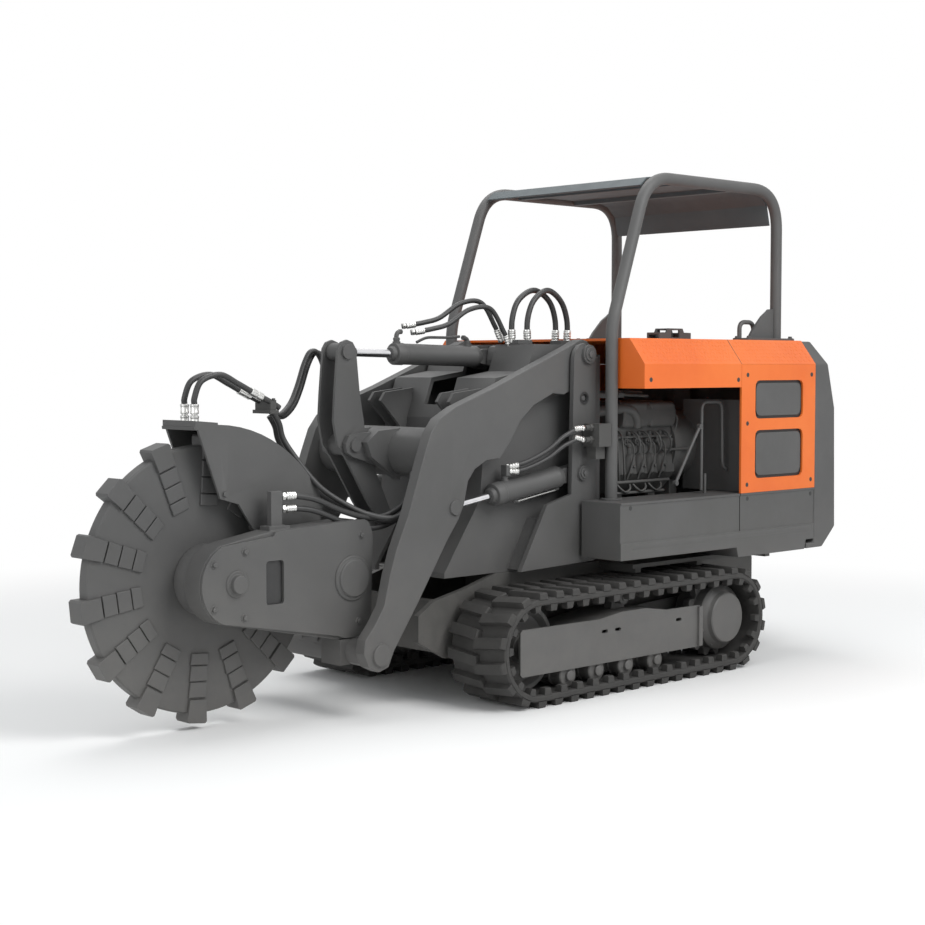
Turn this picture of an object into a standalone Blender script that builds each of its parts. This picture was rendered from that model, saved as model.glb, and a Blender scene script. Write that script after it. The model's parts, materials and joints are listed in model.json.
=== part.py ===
"""Tracked stump grinder, built in metres with +Z up.

The machine's front (the cutter wheel) points to -Y and its left side is +X.  While it is being
built, Y = 0 is the middle of the tracks; at the end one empty carries everything so that the
origin is the middle of the bottom of the whole machine.
"""
import math

import bmesh
import bpy
from mathutils import Matrix, Vector

for old in list(bpy.data.objects):
    bpy.data.objects.remove(old, do_unlink=True)

# ---- driving dimensions -------------------------------------------------------------------
GAP = 0.0004              # running clearance between neighbouring pieces

# tracks
HALF_WIDTH = 0.74         # half the width over the tracks
BELT_WIDTH = 0.35
IDLER_Y = -0.713
SPROCKET_Y = 0.718
AXLE_Z = 0.262            # wheel centres above the ground, equal to the belt's outer radius
LUG_HEIGHT = 0.028
BELT_THICK = 0.030
LUGS = 40
LUG_SHARE = 0.46          # share of the pitch that a lug covers
ROLLER_YS = (-0.475, -0.277, -0.065, 0.152)
ROLLER_R = 0.055
CARRIER_Y = -0.03
CARRIER_R = 0.034

# cutter wheel and head
WHEEL_Y = -2.057
WHEEL_Z = 0.64
DISC_R = 0.572
DISC_HALF = 0.03          # half the disc's thickness
TOOTH_R = 0.615           # radius over the teeth
TEETH = 14
FIRST_TOOTH = 68.8        # degrees up from straight ahead
CASE_IN = 0.145           # drive case between these two distances from the middle
CASE_OUT = 0.255
COVER_OUT = 0.27
GUARD_HALF = 0.12
GUARD_R = 0.66
HEAD_PIN = (-1.41, 0.287)

# lift arms and linkage, pins as (y, z)
ARM_IN = 0.375
ARM_OUT = 0.435
ARM_PIN = (-0.112, 1.602)
CYL_PIN = (-0.150, 1.031)
ROD_PIN = (-0.965, 0.907)
CRANK_PIN = (-1.26, 1.187)
CRANK_TOP = (-1.28, 1.61)
CRANK_LOW = (-1.05, 0.84)
LINK_PIN = (-1.30, 0.75)
TILT_PIN = (-0.338, 1.59)
CROSS_TUBE = (-0.98, 1.15)
CROSS_R = 0.115
BORE_PLAY = 0.0001        # how much wider a bore is than its pin

# tower and chassis
TOWER_HALF = 0.350
FLANGE_IN = 0.445
FLANGE_OUT = 0.470
CHASSIS_HALF = 0.36
TOWER_TOP = 1.65

# body
BODY_FRONT = -0.173
HOOD_FRONT = -0.008       # just behind the front posts of the canopy
BODY_REAR = 1.395
WEIGHT_FRONT = 1.3956
REAR_SPLIT = 0.75
BOX_TOP = 0.899
BOX_LOW = 0.625
HOOD_LOW = 1.438
HOOD_FOLD = 1.556
HOOD_TOP = 1.68
HOOD_TOP_HALF = 0.645
SHEET = 0.012             # sheet thickness of the panels
WEIGHT_REAR = 1.59

# canopy
CANOPY_HALF = 0.56
CANOPY_TUBE_R = 0.030
CANOPY_TOP = 2.50


# ---- materials ----------------------------------------------------------------------------
def finish(name, rgb, roughness, metallic):
    """A named Principled material."""
    mat = bpy.data.materials.new(name)
    mat.use_nodes = True
    shader = mat.node_tree.nodes["Principled BSDF"]
    shader.inputs["Base Color"].default_value = (*rgb, 1.0)
    shader.inputs["Roughness"].default_value = roughness
    shader.inputs["Metallic"].default_value = metallic
    return mat


ORANGE = finish("orange_paint", (0.83, 0.17, 0.02), 0.42, 0.0)
GREY = finish("grey_paint", (0.10, 0.10, 0.10), 0.55, 0.0)
DARK = finish("dark_frame_paint", (0.045, 0.045, 0.045), 0.6, 0.0)
RUBBER = finish("track_rubber", (0.022, 0.022, 0.021), 0.85, 0.0)
HOSE = finish("hose_rubber", (0.018, 0.018, 0.018), 0.6, 0.0)
CHROME = finish("chrome_rod", (0.75, 0.75, 0.76), 0.12, 1.0)
STEEL = finish("tooth_steel", (0.33, 0.32, 0.31), 0.4, 0.9)
CAST = finish("cast_engine_grey", (0.16, 0.16, 0.16), 0.6, 0.4)
PLASTIC = finish("grille_plastic", (0.13, 0.13, 0.13), 0.6, 0.0)

NODES = []


# ---- building blocks ----------------------------------------------------------------------
def to_object(bm, name="piece"):
    """Close a bmesh into an object with outward faces."""
    bmesh.ops.recalc_face_normals(bm, faces=bm.faces)
    mesh = bpy.data.meshes.new(name)
    bm.to_mesh(mesh)
    bm.free()
    ob = bpy.data.objects.new(name, mesh)
    bpy.context.scene.collection.objects.link(ob)
    return ob


def prism(outline, lo, hi, axis="x"):
    """Solid between two parallel copies of a closed outline.

    Along x the outline is (y, z), along y it is (x, z), along z it is (x, y).
    """
    bm = bmesh.new()
    order = {"x": (2, 0, 1), "y": (0, 2, 1), "z": (0, 1, 2)}[axis]
    rings = []
    for level in (lo, hi):
        ring = []
        for a, b in outline:
            spot = (a, b, level)
            ring.append(bm.verts.new([spot[i] for i in order]))
        rings.append(ring)
    count = len(outline)
    for i in range(count):
        j = (i + 1) % count
        bm.faces.new((rings[0][i], rings[0][j], rings[1][j], rings[1][i]))
    bm.faces.new(rings[0][::-1])
    bm.faces.new(rings[1])
    return to_object(bm)


def box(x0, x1, y0, y1, z0, z1):
    return prism([(y0, z0), (y1, z0), (y1, z1), (y0, z1)], x0, x1)


def turned(profile, centre, axis=(1, 0, 0), seg=24, spin=0.0):
    """Body of revolution: profile is a closed list of (distance along axis, radius)."""
    bm = bmesh.new()
    turn = Vector((0, 0, 1)).rotation_difference(Vector(axis)).to_matrix()
    rings = []
    for along, radius in profile:
        if radius <= 0:
            rings.append([bm.verts.new(Vector(centre) + turn @ Vector((0, 0, along)))])
            continue
        ring = []
        for i in range(seg):
            a = 2 * math.pi * i / seg + spin
            spot = Vector((radius * math.cos(a), radius * math.sin(a), along))
            ring.append(bm.verts.new(Vector(centre) + turn @ spot))
        rings.append(ring)
    for k, ring in enumerate(rings):
        nxt = rings[(k + 1) % len(rings)]
        if len(ring) == 1 and len(nxt) == 1:
            continue
        for i in range(seg):
            j = (i + 1) % seg
            corners = []
            for ring_, at in ((ring, i), (ring, j), (nxt, j), (nxt, i)):
                vert = ring_[at % len(ring_)]
                if vert not in corners:
                    corners.append(vert)
            bm.faces.new(corners)
    return to_object(bm)


def rod(p0, p1, radius, seg=12, spin=0.0):
    """Plain round bar between two points."""
    start = Vector(p0)
    way = Vector(p1) - start
    profile = [(0, 0), (0, radius), (way.length, radius), (way.length, 0)]
    return turned(profile, start, way.normalized(), seg, spin)


def pin(yz, x0, x1, radius, seg=12):
    """Bar along X through the point (y, z)."""
    return rod((x0, *yz), (x1, *yz), radius, seg)


def bore_cut(at, x0, x1, radius, seg=12):
    """Cutter for a bore; its flats face the corners of the pin."""
    wide = (radius + BORE_PLAY) / math.cos(math.pi / seg)
    return rod((x0, *at), (x1, *at), wide, seg, math.pi / seg)


def arc(centre, radius, start, end, steps):
    """Points on an arc, angles in degrees, measured in the outline's own plane."""
    points = []
    for i in range(steps + 1):
        a = math.radians(start + (end - start) * i / steps)
        points.append((centre[0] + radius * math.cos(a), centre[1] + radius * math.sin(a)))
    return points


def rounded(corners, radius, steps=3):
    """Closed outline with every corner rounded."""
    out = []
    count = len(corners)
    for i, here in enumerate(corners):
        here = Vector(here)
        back = Vector(corners[i - 1]) - here
        ahead = Vector(corners[(i + 1) % count]) - here
        reach = min(radius, back.length * 0.45, ahead.length * 0.45)
        a = here + back.normalized() * reach
        b = here + ahead.normalized() * reach
        for k in range(steps + 1):
            t = k / steps
            spot = a * (1 - t) ** 2 + here * (2 * t * (1 - t)) + b * t ** 2
            out.append((spot.x, spot.y))
    return out


def stadium(p0, p1, r0, r1, steps=6):
    """Outline of a strap round two points."""
    a = math.degrees(math.atan2(p1[1] - p0[1], p1[0] - p0[0]))
    return arc(p0, r0, a + 90, a + 270, steps) + arc(p1, r1, a - 90, a + 90, steps)


def flip(ob):
    """Turn a piece into its mirror image across the middle of the machine."""
    ob.data.transform(Matrix.Diagonal((-1, 1, 1, 1)))
    ob.data.flip_normals()


def combine(name, solids, cuts=(), material=GREY, pivot=None, mirror=False):
    """Join the solids, cut away the cutters, and keep the result as one named piece."""
    base = solids[0]
    for kind, others in (("UNION", solids[1:]), ("DIFFERENCE", list(cuts))):
        if not others:
            continue
        bag = bpy.data.collections.new("operands")
        bpy.context.scene.collection.children.link(bag)
        for ob in others:
            bag.objects.link(ob)
        step = base.modifiers.new(kind.lower(), "BOOLEAN")
        step.operation = kind
        step.operand_type = "COLLECTION"
        step.collection = bag
        step.solver = "MANIFOLD"
        depsgraph = bpy.context.evaluated_depsgraph_get()
        mesh = bpy.data.meshes.new_from_object(base.evaluated_get(depsgraph))
        base.modifiers.clear()
        base.data = mesh
        for ob in others:
            bpy.data.objects.remove(ob, do_unlink=True)
        bpy.data.collections.remove(bag)
    if mirror:
        flip(base)
    base.name = name
    base.data.name = name
    base.data.materials.clear()
    base.data.materials.append(material)
    if pivot is not None:
        base.data.transform(Matrix.Translation(-Vector(pivot)))
        base.location = pivot
    NODES.append(base)
    return base


def pair(name, build, cuts=None, material=GREY, pivot=None):
    """Left and right copies of a piece; both lists are made afresh for each side."""
    for side, mirror in (("left", False), ("right", True)):
        at = pivot
        if pivot is not None and mirror:
            at = (-pivot[0], pivot[1], pivot[2])
        combine(f"{name}_{side}", build(), cuts() if cuts else (), material, at, mirror)


def hose(points, radius, spacing=2.4):
    """Round hose through the given points, smoothed, with closed ends."""
    spots = [Vector(p) for p in points]
    fine = []
    for i in range(len(spots) - 1):
        before = spots[max(i - 1, 0)]
        after = spots[min(i + 2, len(spots) - 1)]
        run = (spots[i + 1] - spots[i]).length
        steps = max(1, round(run / (2 * radius * spacing)))
        for k in range(steps):
            t = k / steps
            a = spots[i] * 2
            b = (spots[i + 1] - before) * t
            c = (before * 2 - spots[i] * 5 + spots[i + 1] * 4 - after) * t ** 2
            d = (spots[i] * 3 - before - spots[i + 1] * 3 + after) * t ** 3
            fine.append((a + b + c + d) * 0.5)
    fine.append(spots[-1])
    curve = bpy.data.curves.new("hose", "CURVE")
    curve.dimensions = "3D"
    curve.bevel_depth = radius
    curve.bevel_resolution = 2
    curve.use_fill_caps = True
    line = curve.splines.new("POLY")
    line.points.add(len(fine) - 1)
    for point, spot in zip(line.points, fine):
        point.co = (*spot, 1.0)
    holder = bpy.data.objects.new("hose", curve)
    bpy.context.scene.collection.objects.link(holder)
    depsgraph = bpy.context.evaluated_depsgraph_get()
    mesh = bpy.data.meshes.new_from_object(holder.evaluated_get(depsgraph))
    bpy.data.objects.remove(holder, do_unlink=True)
    bm = bmesh.new()
    bm.from_mesh(mesh)
    bmesh.ops.remove_doubles(bm, verts=bm.verts, dist=1e-6)
    return to_object(bm)


# ---- tracks -------------------------------------------------------------------------------
BELT_FACE = AXLE_Z - LUG_HEIGHT          # outer radius of the belt's carcass
BELT_BORE = BELT_FACE - BELT_THICK       # inner radius of the belt
BELT_IN = HALF_WIDTH - BELT_WIDTH
TRACK_MID = HALF_WIDTH - BELT_WIDTH / 2
WHEEL_ROUND = BELT_BORE - 0.0005         # wheels that run inside the belt
FRAME_OUT = TRACK_MID + 0.135
FRAME_IN = TRACK_MID - 0.110
FRAME_LOW = 0.188
WEB_HALF = 0.024                         # half the thickness of the roller web
ROLLER_CORE = 0.030
ROLLER_Z = AXLE_Z - BELT_BORE + GAP + ROLLER_R
CARRIER_CORE = 0.016
CARRIER_Z = AXLE_Z + BELT_BORE - GAP - CARRIER_R
MOTOR_R = 0.075
IDLER_PIN_R = 0.031
RUN = SPROCKET_Y - IDLER_Y


def belt_point(way, radius):
    """A point at a distance along the belt, starting under the idler and going rearward."""
    bend = math.pi * BELT_FACE
    way %= 2 * (RUN + bend)
    if way < RUN:
        return (IDLER_Y + way, AXLE_Z - radius)
    way -= RUN
    if way < bend:
        a = way / BELT_FACE - math.pi / 2
        return (SPROCKET_Y + radius * math.cos(a), AXLE_Z + radius * math.sin(a))
    way -= bend
    if way < RUN:
        return (SPROCKET_Y - way, AXLE_Z + radius)
    a = (way - RUN) / BELT_FACE + math.pi / 2
    return (IDLER_Y + radius * math.cos(a), AXLE_Z + radius * math.sin(a))


def belt_solids():
    pitch = 2 * (RUN + math.pi * BELT_FACE) / LUGS
    flank = 0.008
    outline = []
    for k in range(LUGS):
        start = k * pitch
        end = start + LUG_SHARE * pitch
        outline.append(belt_point(start, BELT_FACE))
        outline.append(belt_point(start + flank, AXLE_Z))
        outline.append(belt_point(end - flank, AXLE_Z))
        outline.append(belt_point(end, BELT_FACE))
    return [prism(outline, BELT_IN, HALF_WIDTH)]


def belt_cuts():
    """The inside of the belt; its flats touch the inner radius, so round wheels fit in it."""
    steps = 14
    outer = BELT_BORE / math.cos(math.pi / 2 / steps)
    half_step = 90 / steps
    rear = arc((SPROCKET_Y, AXLE_Z), outer, half_step - 90, 90 - half_step, steps - 1)
    front = arc((IDLER_Y, AXLE_Z), outer, 90 + half_step, 270 - half_step, steps - 1)
    return [prism(rear + front, BELT_IN - 0.1, HALF_WIDTH + 0.1)]


def idler_solids():
    bore = (IDLER_PIN_R + BORE_PLAY) / math.cos(math.pi / 20)
    side = [(0.060, bore), (0.060, 0.066), (0.032, 0.072), (0.032, 0.160), (0.055, WHEEL_ROUND)]
    profile = side + [(-x, r) for x, r in side[::-1]]
    return [turned(profile, (TRACK_MID, IDLER_Y, AXLE_Z), (1, 0, 0), 20)]


def sprocket_solids():
    teeth = 14
    outline = []
    for k in range(teeth):
        middle = 360 * k / teeth
        for off, radius in ((-8, 0.172), (-3.5, WHEEL_ROUND), (3.5, WHEEL_ROUND), (8, 0.172)):
            a = math.radians(middle + off)
            outline.append((SPROCKET_Y + radius * math.cos(a), AXLE_Z + radius * math.sin(a)))
    bore = (MOTOR_R + BORE_PLAY) / math.cos(math.pi / 20)
    profile = [(-0.125, bore), (-0.125, 0.128), (-0.090, 0.165), (0.075, 0.165), (0.097, 0.134)]
    profile += [(0.123, 0.125), (0.123, 0.0), (-0.030, 0.0), (-0.030, bore)]
    drum = turned(profile, (TRACK_MID, SPROCKET_Y, AXLE_Z), (1, 0, 0), 20)
    return [drum, prism(outline, TRACK_MID - 0.02, TRACK_MID + 0.02)]


def sprocket_cuts():
    bore = (MOTOR_R + BORE_PLAY) / math.cos(math.pi / 20)
    return [pin((SPROCKET_Y, AXLE_Z), TRACK_MID - 0.135, TRACK_MID - 0.030, bore, 20)]


def spool(y, z, radius, core, half):
    """A two-flange roller that turns in the middle web of the track frame."""
    inner = WEB_HALF + 2 * GAP
    side = [(half, 0.0), (half, radius * 0.8), (half * 0.9, radius), (inner, radius), (inner, core)]
    profile = side + [(-x, r) for x, r in side[::-1]]
    return [turned(profile, (TRACK_MID + 0.008, y, z), (1, 0, 0), 12)]


def frame_solids():
    mid = TRACK_MID + 0.008
    top = [(0.275, 0.345), (0.06, 0.377), (-0.12, 0.377), (-0.45, 0.335)]
    body = prism([(-0.45, FRAME_LOW), (0.275, FRAME_LOW)] + top, FRAME_IN, FRAME_OUT)
    fork = rounded([(-0.81, 0.20), (-0.44, 0.19), (-0.44, 0.335), (-0.81, 0.322)], 0.03, 2)
    plate = rounded([(-0.81, 0.145), (0.485, 0.145), (0.485, 0.352), (-0.81, 0.360)], 0.012, 1)
    fork_out = prism(plate, FRAME_OUT - 0.013, FRAME_OUT)
    rib = box(FRAME_OUT - 0.005, FRAME_OUT + 0.014, 0.455, 0.483, 0.150, 0.347)
    fork_in = prism(fork, FRAME_IN, FRAME_IN + 0.015)
    axle = pin((IDLER_Y, AXLE_Z), FRAME_IN + 0.005, FRAME_OUT - 0.005, IDLER_PIN_R)
    low = [(-0.528, 0.100), (-0.50, 0.078), (0.18, 0.078), (0.21, 0.100), (0.21, 0.192)]
    web = prism(low + [(-0.508, 0.192)], mid - WEB_HALF, mid + WEB_HALF)
    stand_z = AXLE_Z + BELT_BORE - 0.006
    stand = [(-0.08, 0.37), (0.02, 0.37), (0.0, stand_z), (-0.06, stand_z)]
    carrier = prism(stand, mid - WEB_HALF, mid + WEB_HALF)
    arm = stadium((0.10, AXLE_Z), (SPROCKET_Y, AXLE_Z), 0.07, 0.10, 6)
    arm_plate = prism(arm, FRAME_IN - 0.043, FRAME_IN - 0.023)
    block = box(FRAME_IN - 0.040, FRAME_IN + 0.02, 0.06, 0.26, 0.21, 0.32)
    stub = pin((SPROCKET_Y, AXLE_Z), FRAME_IN - 0.040, TRACK_MID - 0.040, MOTOR_R, 20)
    solids = [body, fork_out, fork_in, rib, axle, web, carrier, arm_plate, block, stub]
    for y in (-0.25, 0.17):
        solids.append(box(CHASSIS_HALF + GAP, FRAME_IN + 0.01, y - 0.05, y + 0.05, 0.235, 0.315))
    return solids


def frame_cuts():
    mid = TRACK_MID + 0.008
    cuts = []
    skin = 0.013                             # thickness of the outer plate
    outer = (mid + WEB_HALF + 0.004, FRAME_OUT - skin)
    for lo, hi in ((FRAME_IN + 0.015, mid - WEB_HALF - 0.004), outer):
        cuts.append(box(lo, hi, -0.46, 0.26, FRAME_LOW - 0.01, 0.325))
    for y in ROLLER_YS:
        cuts.append(bore_cut((y, ROLLER_Z), mid - 0.03, mid + 0.03, ROLLER_CORE))
    cuts.append(bore_cut((CARRIER_Y, CARRIER_Z), mid - 0.03, mid + 0.03, CARRIER_CORE))
    for y in (-0.24, -0.145, 0.31):
        slot = stadium((y - 0.014, 0.296), (y + 0.014, 0.296), 0.008, 0.008, 3)
        cuts.append(prism(slot, FRAME_OUT - skin - 0.002, FRAME_OUT + 0.01))
    return cuts


pair("track_belt", belt_solids, belt_cuts, RUBBER)
pair("track_frame", frame_solids, frame_cuts, DARK)
pair("idler", idler_solids, None, DARK, (TRACK_MID, IDLER_Y, AXLE_Z))
pair("sprocket", sprocket_solids, sprocket_cuts, DARK, (TRACK_MID, SPROCKET_Y, AXLE_Z))
for index, roller_y in enumerate(ROLLER_YS, 1):
    at = (TRACK_MID, roller_y, ROLLER_Z)
    make = [roller_y, ROLLER_Z, ROLLER_R, ROLLER_CORE, 0.112]
    pair(f"bottom_roller_{index}", lambda: spool(*make), None, DARK, at)
at = (TRACK_MID, CARRIER_Y, CARRIER_Z)
pair("carrier_roller", lambda: spool(CARRIER_Y, CARRIER_Z, CARRIER_R, CARRIER_CORE, 0.07), None,
     DARK, at)


# ---- chassis and tower --------------------------------------------------------------------
PIN_R = 0.030
ARM_PIN_R = 0.040
CYL_PIN_R = 0.024
PLATE = 0.030
DECK_TOP = 0.5745          # top of the deck that the side boxes stand on


def mirrored(outline, lo, hi):
    """The same plate on both sides of the middle."""
    return [prism(outline, lo, hi), prism(outline, -hi, -lo)]


def chassis():
    side = [(-1.12, 0.30), (-0.95, 0.21), (1.30, 0.21), (1.36, 0.30), (1.36, 0.50), (1.30, 0.575)]
    side += [(-0.62, 0.575), (-0.82, 0.52), (-1.02, 0.48), (-1.12, 0.42)]
    solids = mirrored(side, CHASSIS_HALF - PLATE, CHASSIS_HALF)
    reach = CHASSIS_HALF - PLATE / 2
    solids.append(box(-reach, reach, -0.93, 1.29, 0.225, 0.245))
    solids.append(box(-reach, reach, -0.97, -0.93, 0.232, 0.47))
    solids.append(box(-reach, reach, 1.27, 1.30, 0.232, 0.55))
    solids.append(box(-reach, reach, -0.16, -0.12, 0.24, 0.56))
    wide = 0.58                              # half the width of the deck
    deck = [(-wide, 0.10), (wide, 0.10), (wide, 1.30), (-wide, 1.30)]
    solids.append(prism(deck, DECK_TOP - 0.020, DECK_TOP, "z"))
    for y in (0.14, 0.62, 1.20):
        rail = box(-wide, wide, y - 0.02, y + 0.02, 0.532, 0.565)
        solids.append(rail)
    cuts = [box(-0.30, 0.30, 0.16, 0.56, 0.50, 0.60)]
    for x in (-0.2, 0.2):
        cuts.append(rod((x, -1.0, 0.36), (x, -0.9, 0.36), 0.035))
    return combine("chassis", solids, cuts, DARK)


def tower():
    """Welded box tower: open underneath, with a channel for the tilt cylinder."""
    low = 0.5755
    outer = [(0.02, low), (0.02, TOWER_TOP), (-0.36, TOWER_TOP), (-0.41, 1.52), (-0.62, 1.49)]
    outer += [(-0.69, 1.30), (-0.72, 0.93), (-0.95, 0.60), (-0.95, low)]
    inner = [(0.0, low - 0.1), (0.0, TOWER_TOP - 0.02), (-0.345, TOWER_TOP - 0.02)]
    inner += [(-0.395, 1.50), (-0.605, 1.47), (-0.67, 1.30), (-0.70, 0.935), (-0.925, 0.60)]
    inner += [(-0.925, low - 0.1)]
    solid = prism(outer, -TOWER_HALF, TOWER_HALF)
    cuts = [prism(inner, -TOWER_HALF + 0.022, TOWER_HALF - 0.022)]
    cuts.append(box(-0.09, 0.09, -0.75, -0.27, 1.36, 1.70))
    cuts.append(box(-0.13, 0.13, -1.00, -0.76, 0.56, 1.00))
    shell = combine("tower", [solid], cuts, GREY)
    NODES.remove(shell)
    ear = rounded([(-0.385, 1.545), (-0.285, 1.52), (-0.25, 1.645), (-0.37, 1.645)], 0.03, 2)
    solids = [shell] + mirrored(ear, 0.048, 0.100)
    solids.append(pin(TILT_PIN, -0.06, 0.06, 0.022))
    rib = [(-0.65, 1.44), (-0.83, 1.42), (-0.86, 1.38), (-0.68, 1.20)]
    for x in (0.19, 0.27):
        solids += mirrored(rib, x, x + 0.018)
    for at, radius in ((ARM_PIN, ARM_PIN_R), (CYL_PIN, CYL_PIN_R)):
        for side in (-1, 1):
            ends = sorted((side * (TOWER_HALF - 0.015), side * (FLANGE_IN + 0.01)))
            solids.append(pin(at, ends[0], ends[1], radius))
    for x_flip in (False, True):
        for piece in flange_solids():
            if x_flip:
                flip(piece)
            solids.append(piece)
    cuts = [pin((-0.137, 1.391), FLANGE_OUT - 0.012, FLANGE_OUT + 0.1, 0.020, 12)]
    cuts.append(pin((-0.137, 1.391), -FLANGE_OUT - 0.1, -FLANGE_OUT + 0.012, 0.020, 12))
    return combine("tower", solids, cuts, GREY)


def flange_solids():
    """Outer plate that holds the far ends of the arm pin and the lift cylinder pin."""
    crown = arc((-0.130, 1.578), 0.078, 10, 178, 6)
    outline = [(-0.19, 0.60), (-0.572, 0.585), (-0.395, 0.888), (-0.225, 0.93)]
    outline = [(-0.06, 0.60)] + crown + outline[::-1][:-1]
    plate = prism(outline, FLANGE_IN, FLANGE_OUT)
    foot = [(-0.54, 0.588), (-0.41, 0.82), (-0.075, 0.82), (-0.075, 0.603)]
    solids = [plate, prism(foot, TOWER_HALF - 0.01, FLANGE_IN + 0.01)]
    solids.append(box(TOWER_HALF - 0.01, FLANGE_OUT - 0.005, -0.034, -0.018, 0.65, 1.60))
    solids.append(box(FLANGE_IN + 0.002, FLANGE_OUT - 0.004, -0.075, -0.025, 0.64, 1.59))
    solids.append(pin(ARM_PIN, FLANGE_OUT - 0.01, FLANGE_OUT + 0.016, 0.046))
    solids.append(pin(CYL_PIN, FLANGE_OUT - 0.01, FLANGE_OUT + 0.014, 0.036))
    return solids


chassis()
tower()


# ---- body ---------------------------------------------------------------------------------
BOX_IN = FLANGE_OUT + 0.018
BOX_FLOOR = DECK_TOP + GAP


def side_box_solids():
    outline = [(BODY_FRONT, BOX_LOW), (0.722, BOX_LOW), (0.735, BOX_FLOOR), (1.31, BOX_FLOOR)]
    outline += [(1.325, BOX_LOW), (BODY_REAR, BOX_LOW), (BODY_REAR, BOX_TOP)]
    outline += [(BODY_FRONT, BOX_TOP)]
    return [prism(outline, BOX_IN, HALF_WIDTH)]


def side_box_cuts():
    wall = SHEET
    low = BOX_LOW + wall
    inner = box(BOX_IN - 0.01, HALF_WIDTH - wall, BODY_FRONT + wall, BODY_REAR - wall, low,
                BOX_TOP - wall)
    band = box(HALF_WIDTH - 0.005, HALF_WIDTH + 0.05, BODY_FRONT - 0.1, BODY_REAR + 0.1, 0.707,
               BOX_TOP - 0.012)
    slot = box(HALF_WIDTH - 0.018, HALF_WIDTH + 0.05, REAR_SPLIT - 0.003, REAR_SPLIT + 0.003,
               0.707, BOX_TOP + 0.05)
    return [inner, band, slot]


def roof_section(shrink):
    """Half sections of the hood: sloping shoulder between the fold and the flat top."""
    side = HALF_WIDTH - shrink
    top = HOOD_TOP - shrink
    half = HOOD_TOP_HALF - shrink * 0.5
    fold = HOOD_FOLD - shrink * 0.5
    low = HOOD_LOW - (0.1 if shrink else 0.0)
    return [(-side, low), (side, low), (side, fold), (half, top), (-half, top), (-side, fold)]


def hood():
    solid = prism(roof_section(0), HOOD_FRONT, BODY_REAR, "y")
    cuts = [prism(roof_section(SHEET), HOOD_FRONT + SHEET, BODY_REAR + 0.1, "y")]
    cuts.append(box(-0.50, 0.50, HOOD_FRONT - 0.1, 0.035, 1.30, 1.80))
    side = HALF_WIDTH + 0.16
    for lo, hi in ((0.5, side), (-side, -0.5)):
        cuts.append(box(lo, hi, REAR_SPLIT, BODY_REAR + 0.1, 1.40, HOOD_FOLD - 0.001))
    solids = [solid, box(0.16, 0.24, 0.70, 0.96, HOOD_TOP - 0.006, HOOD_TOP + 0.064)]
    for y in (0.72, 0.84):
        cuts.append(box(0.14, 0.26, y, y + 0.10, HOOD_TOP + 0.014, HOOD_TOP + 0.050))
    return combine("hood", solids, cuts, ORANGE)


WINDOWS = ((0.970, 1.217), (1.276, 1.472))    # lower and upper edges of the rear windows
WINDOW_Y = (0.868, 1.284)


def rear_panel_solids():
    return [box(HALF_WIDTH - SHEET, HALF_WIDTH, REAR_SPLIT + 0.002, BODY_REAR, BOX_TOP + GAP,
                HOOD_FOLD - 0.0015)]


def rear_panel_cuts():
    cuts = []
    for z0, z1 in WINDOWS:
        corners = [(WINDOW_Y[0], z0), (WINDOW_Y[1], z0), (WINDOW_Y[1], z1), (WINDOW_Y[0], z1)]
        cuts.append(prism(rounded(corners, 0.035, 3), HALF_WIDTH - 0.04, HALF_WIDTH + 0.06))
    return cuts


def grille_solids():
    back = HALF_WIDTH - SHEET - GAP
    solids = [box(back - 0.008, back, WINDOW_Y[0] - 0.03, WINDOW_Y[1] + 0.03,
                  WINDOWS[0][0] - 0.03, WINDOWS[1][1] + 0.03)]
    for z0, z1 in WINDOWS:
        for k in range(4):
            z = z0 + (z1 - z0) * (k + 0.5) / 4
            solids.append(box(back - 0.004, back + 0.008, WINDOW_Y[0] + 0.02, WINDOW_Y[1] - 0.02,
                              z - 0.011, z + 0.011))
    return solids


def counterweight():
    outline = [(1.33, 0.576), (1.473, 0.576), (WEIGHT_REAR, 0.68), (1.576, 1.32), (1.508, 1.568)]
    outline += [(1.475, HOOD_TOP - 0.004), (WEIGHT_FRONT, HOOD_TOP - 0.004), (WEIGHT_FRONT, BOX_LOW - 0.02)]
    outline.append((1.33, BOX_LOW - 0.02))
    solid = prism(outline, -HALF_WIDTH, HALF_WIDTH)
    cuts = []
    for side in (-1, 1):
        wedge = [(side * 0.90, HOOD_FOLD), (side * HALF_WIDTH, HOOD_FOLD - 0.002)]
        wedge += [(side * HOOD_TOP_HALF, HOOD_TOP), (side * 0.70, 1.80), (side * 0.90, 1.80)]
        cuts.append(prism(wedge, 1.30, 1.70, "y"))
    cuts.append(box(-0.66, 0.66, 1.35, 1.455, 0.66, 1.60))
    return combine("counterweight", [solid], cuts, GREY)


pair("side_box", side_box_solids, side_box_cuts, GREY)
hood()
combine("rear_panel_left", rear_panel_solids(), rear_panel_cuts(), ORANGE)
door = box(HALF_WIDTH - SHEET, HALF_WIDTH, HOOD_FRONT, REAR_SPLIT + 0.01, BOX_TOP + GAP,
           HOOD_LOW - GAP)
combine("rear_panel_right", rear_panel_solids() + [door], rear_panel_cuts(), ORANGE, None, True)
pair("window_grille", grille_solids, None, PLASTIC)
counterweight()


# ---- engine bay ---------------------------------------------------------------------------
ENGINE_X = 0.12
DRUM_Z = 1.13


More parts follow.
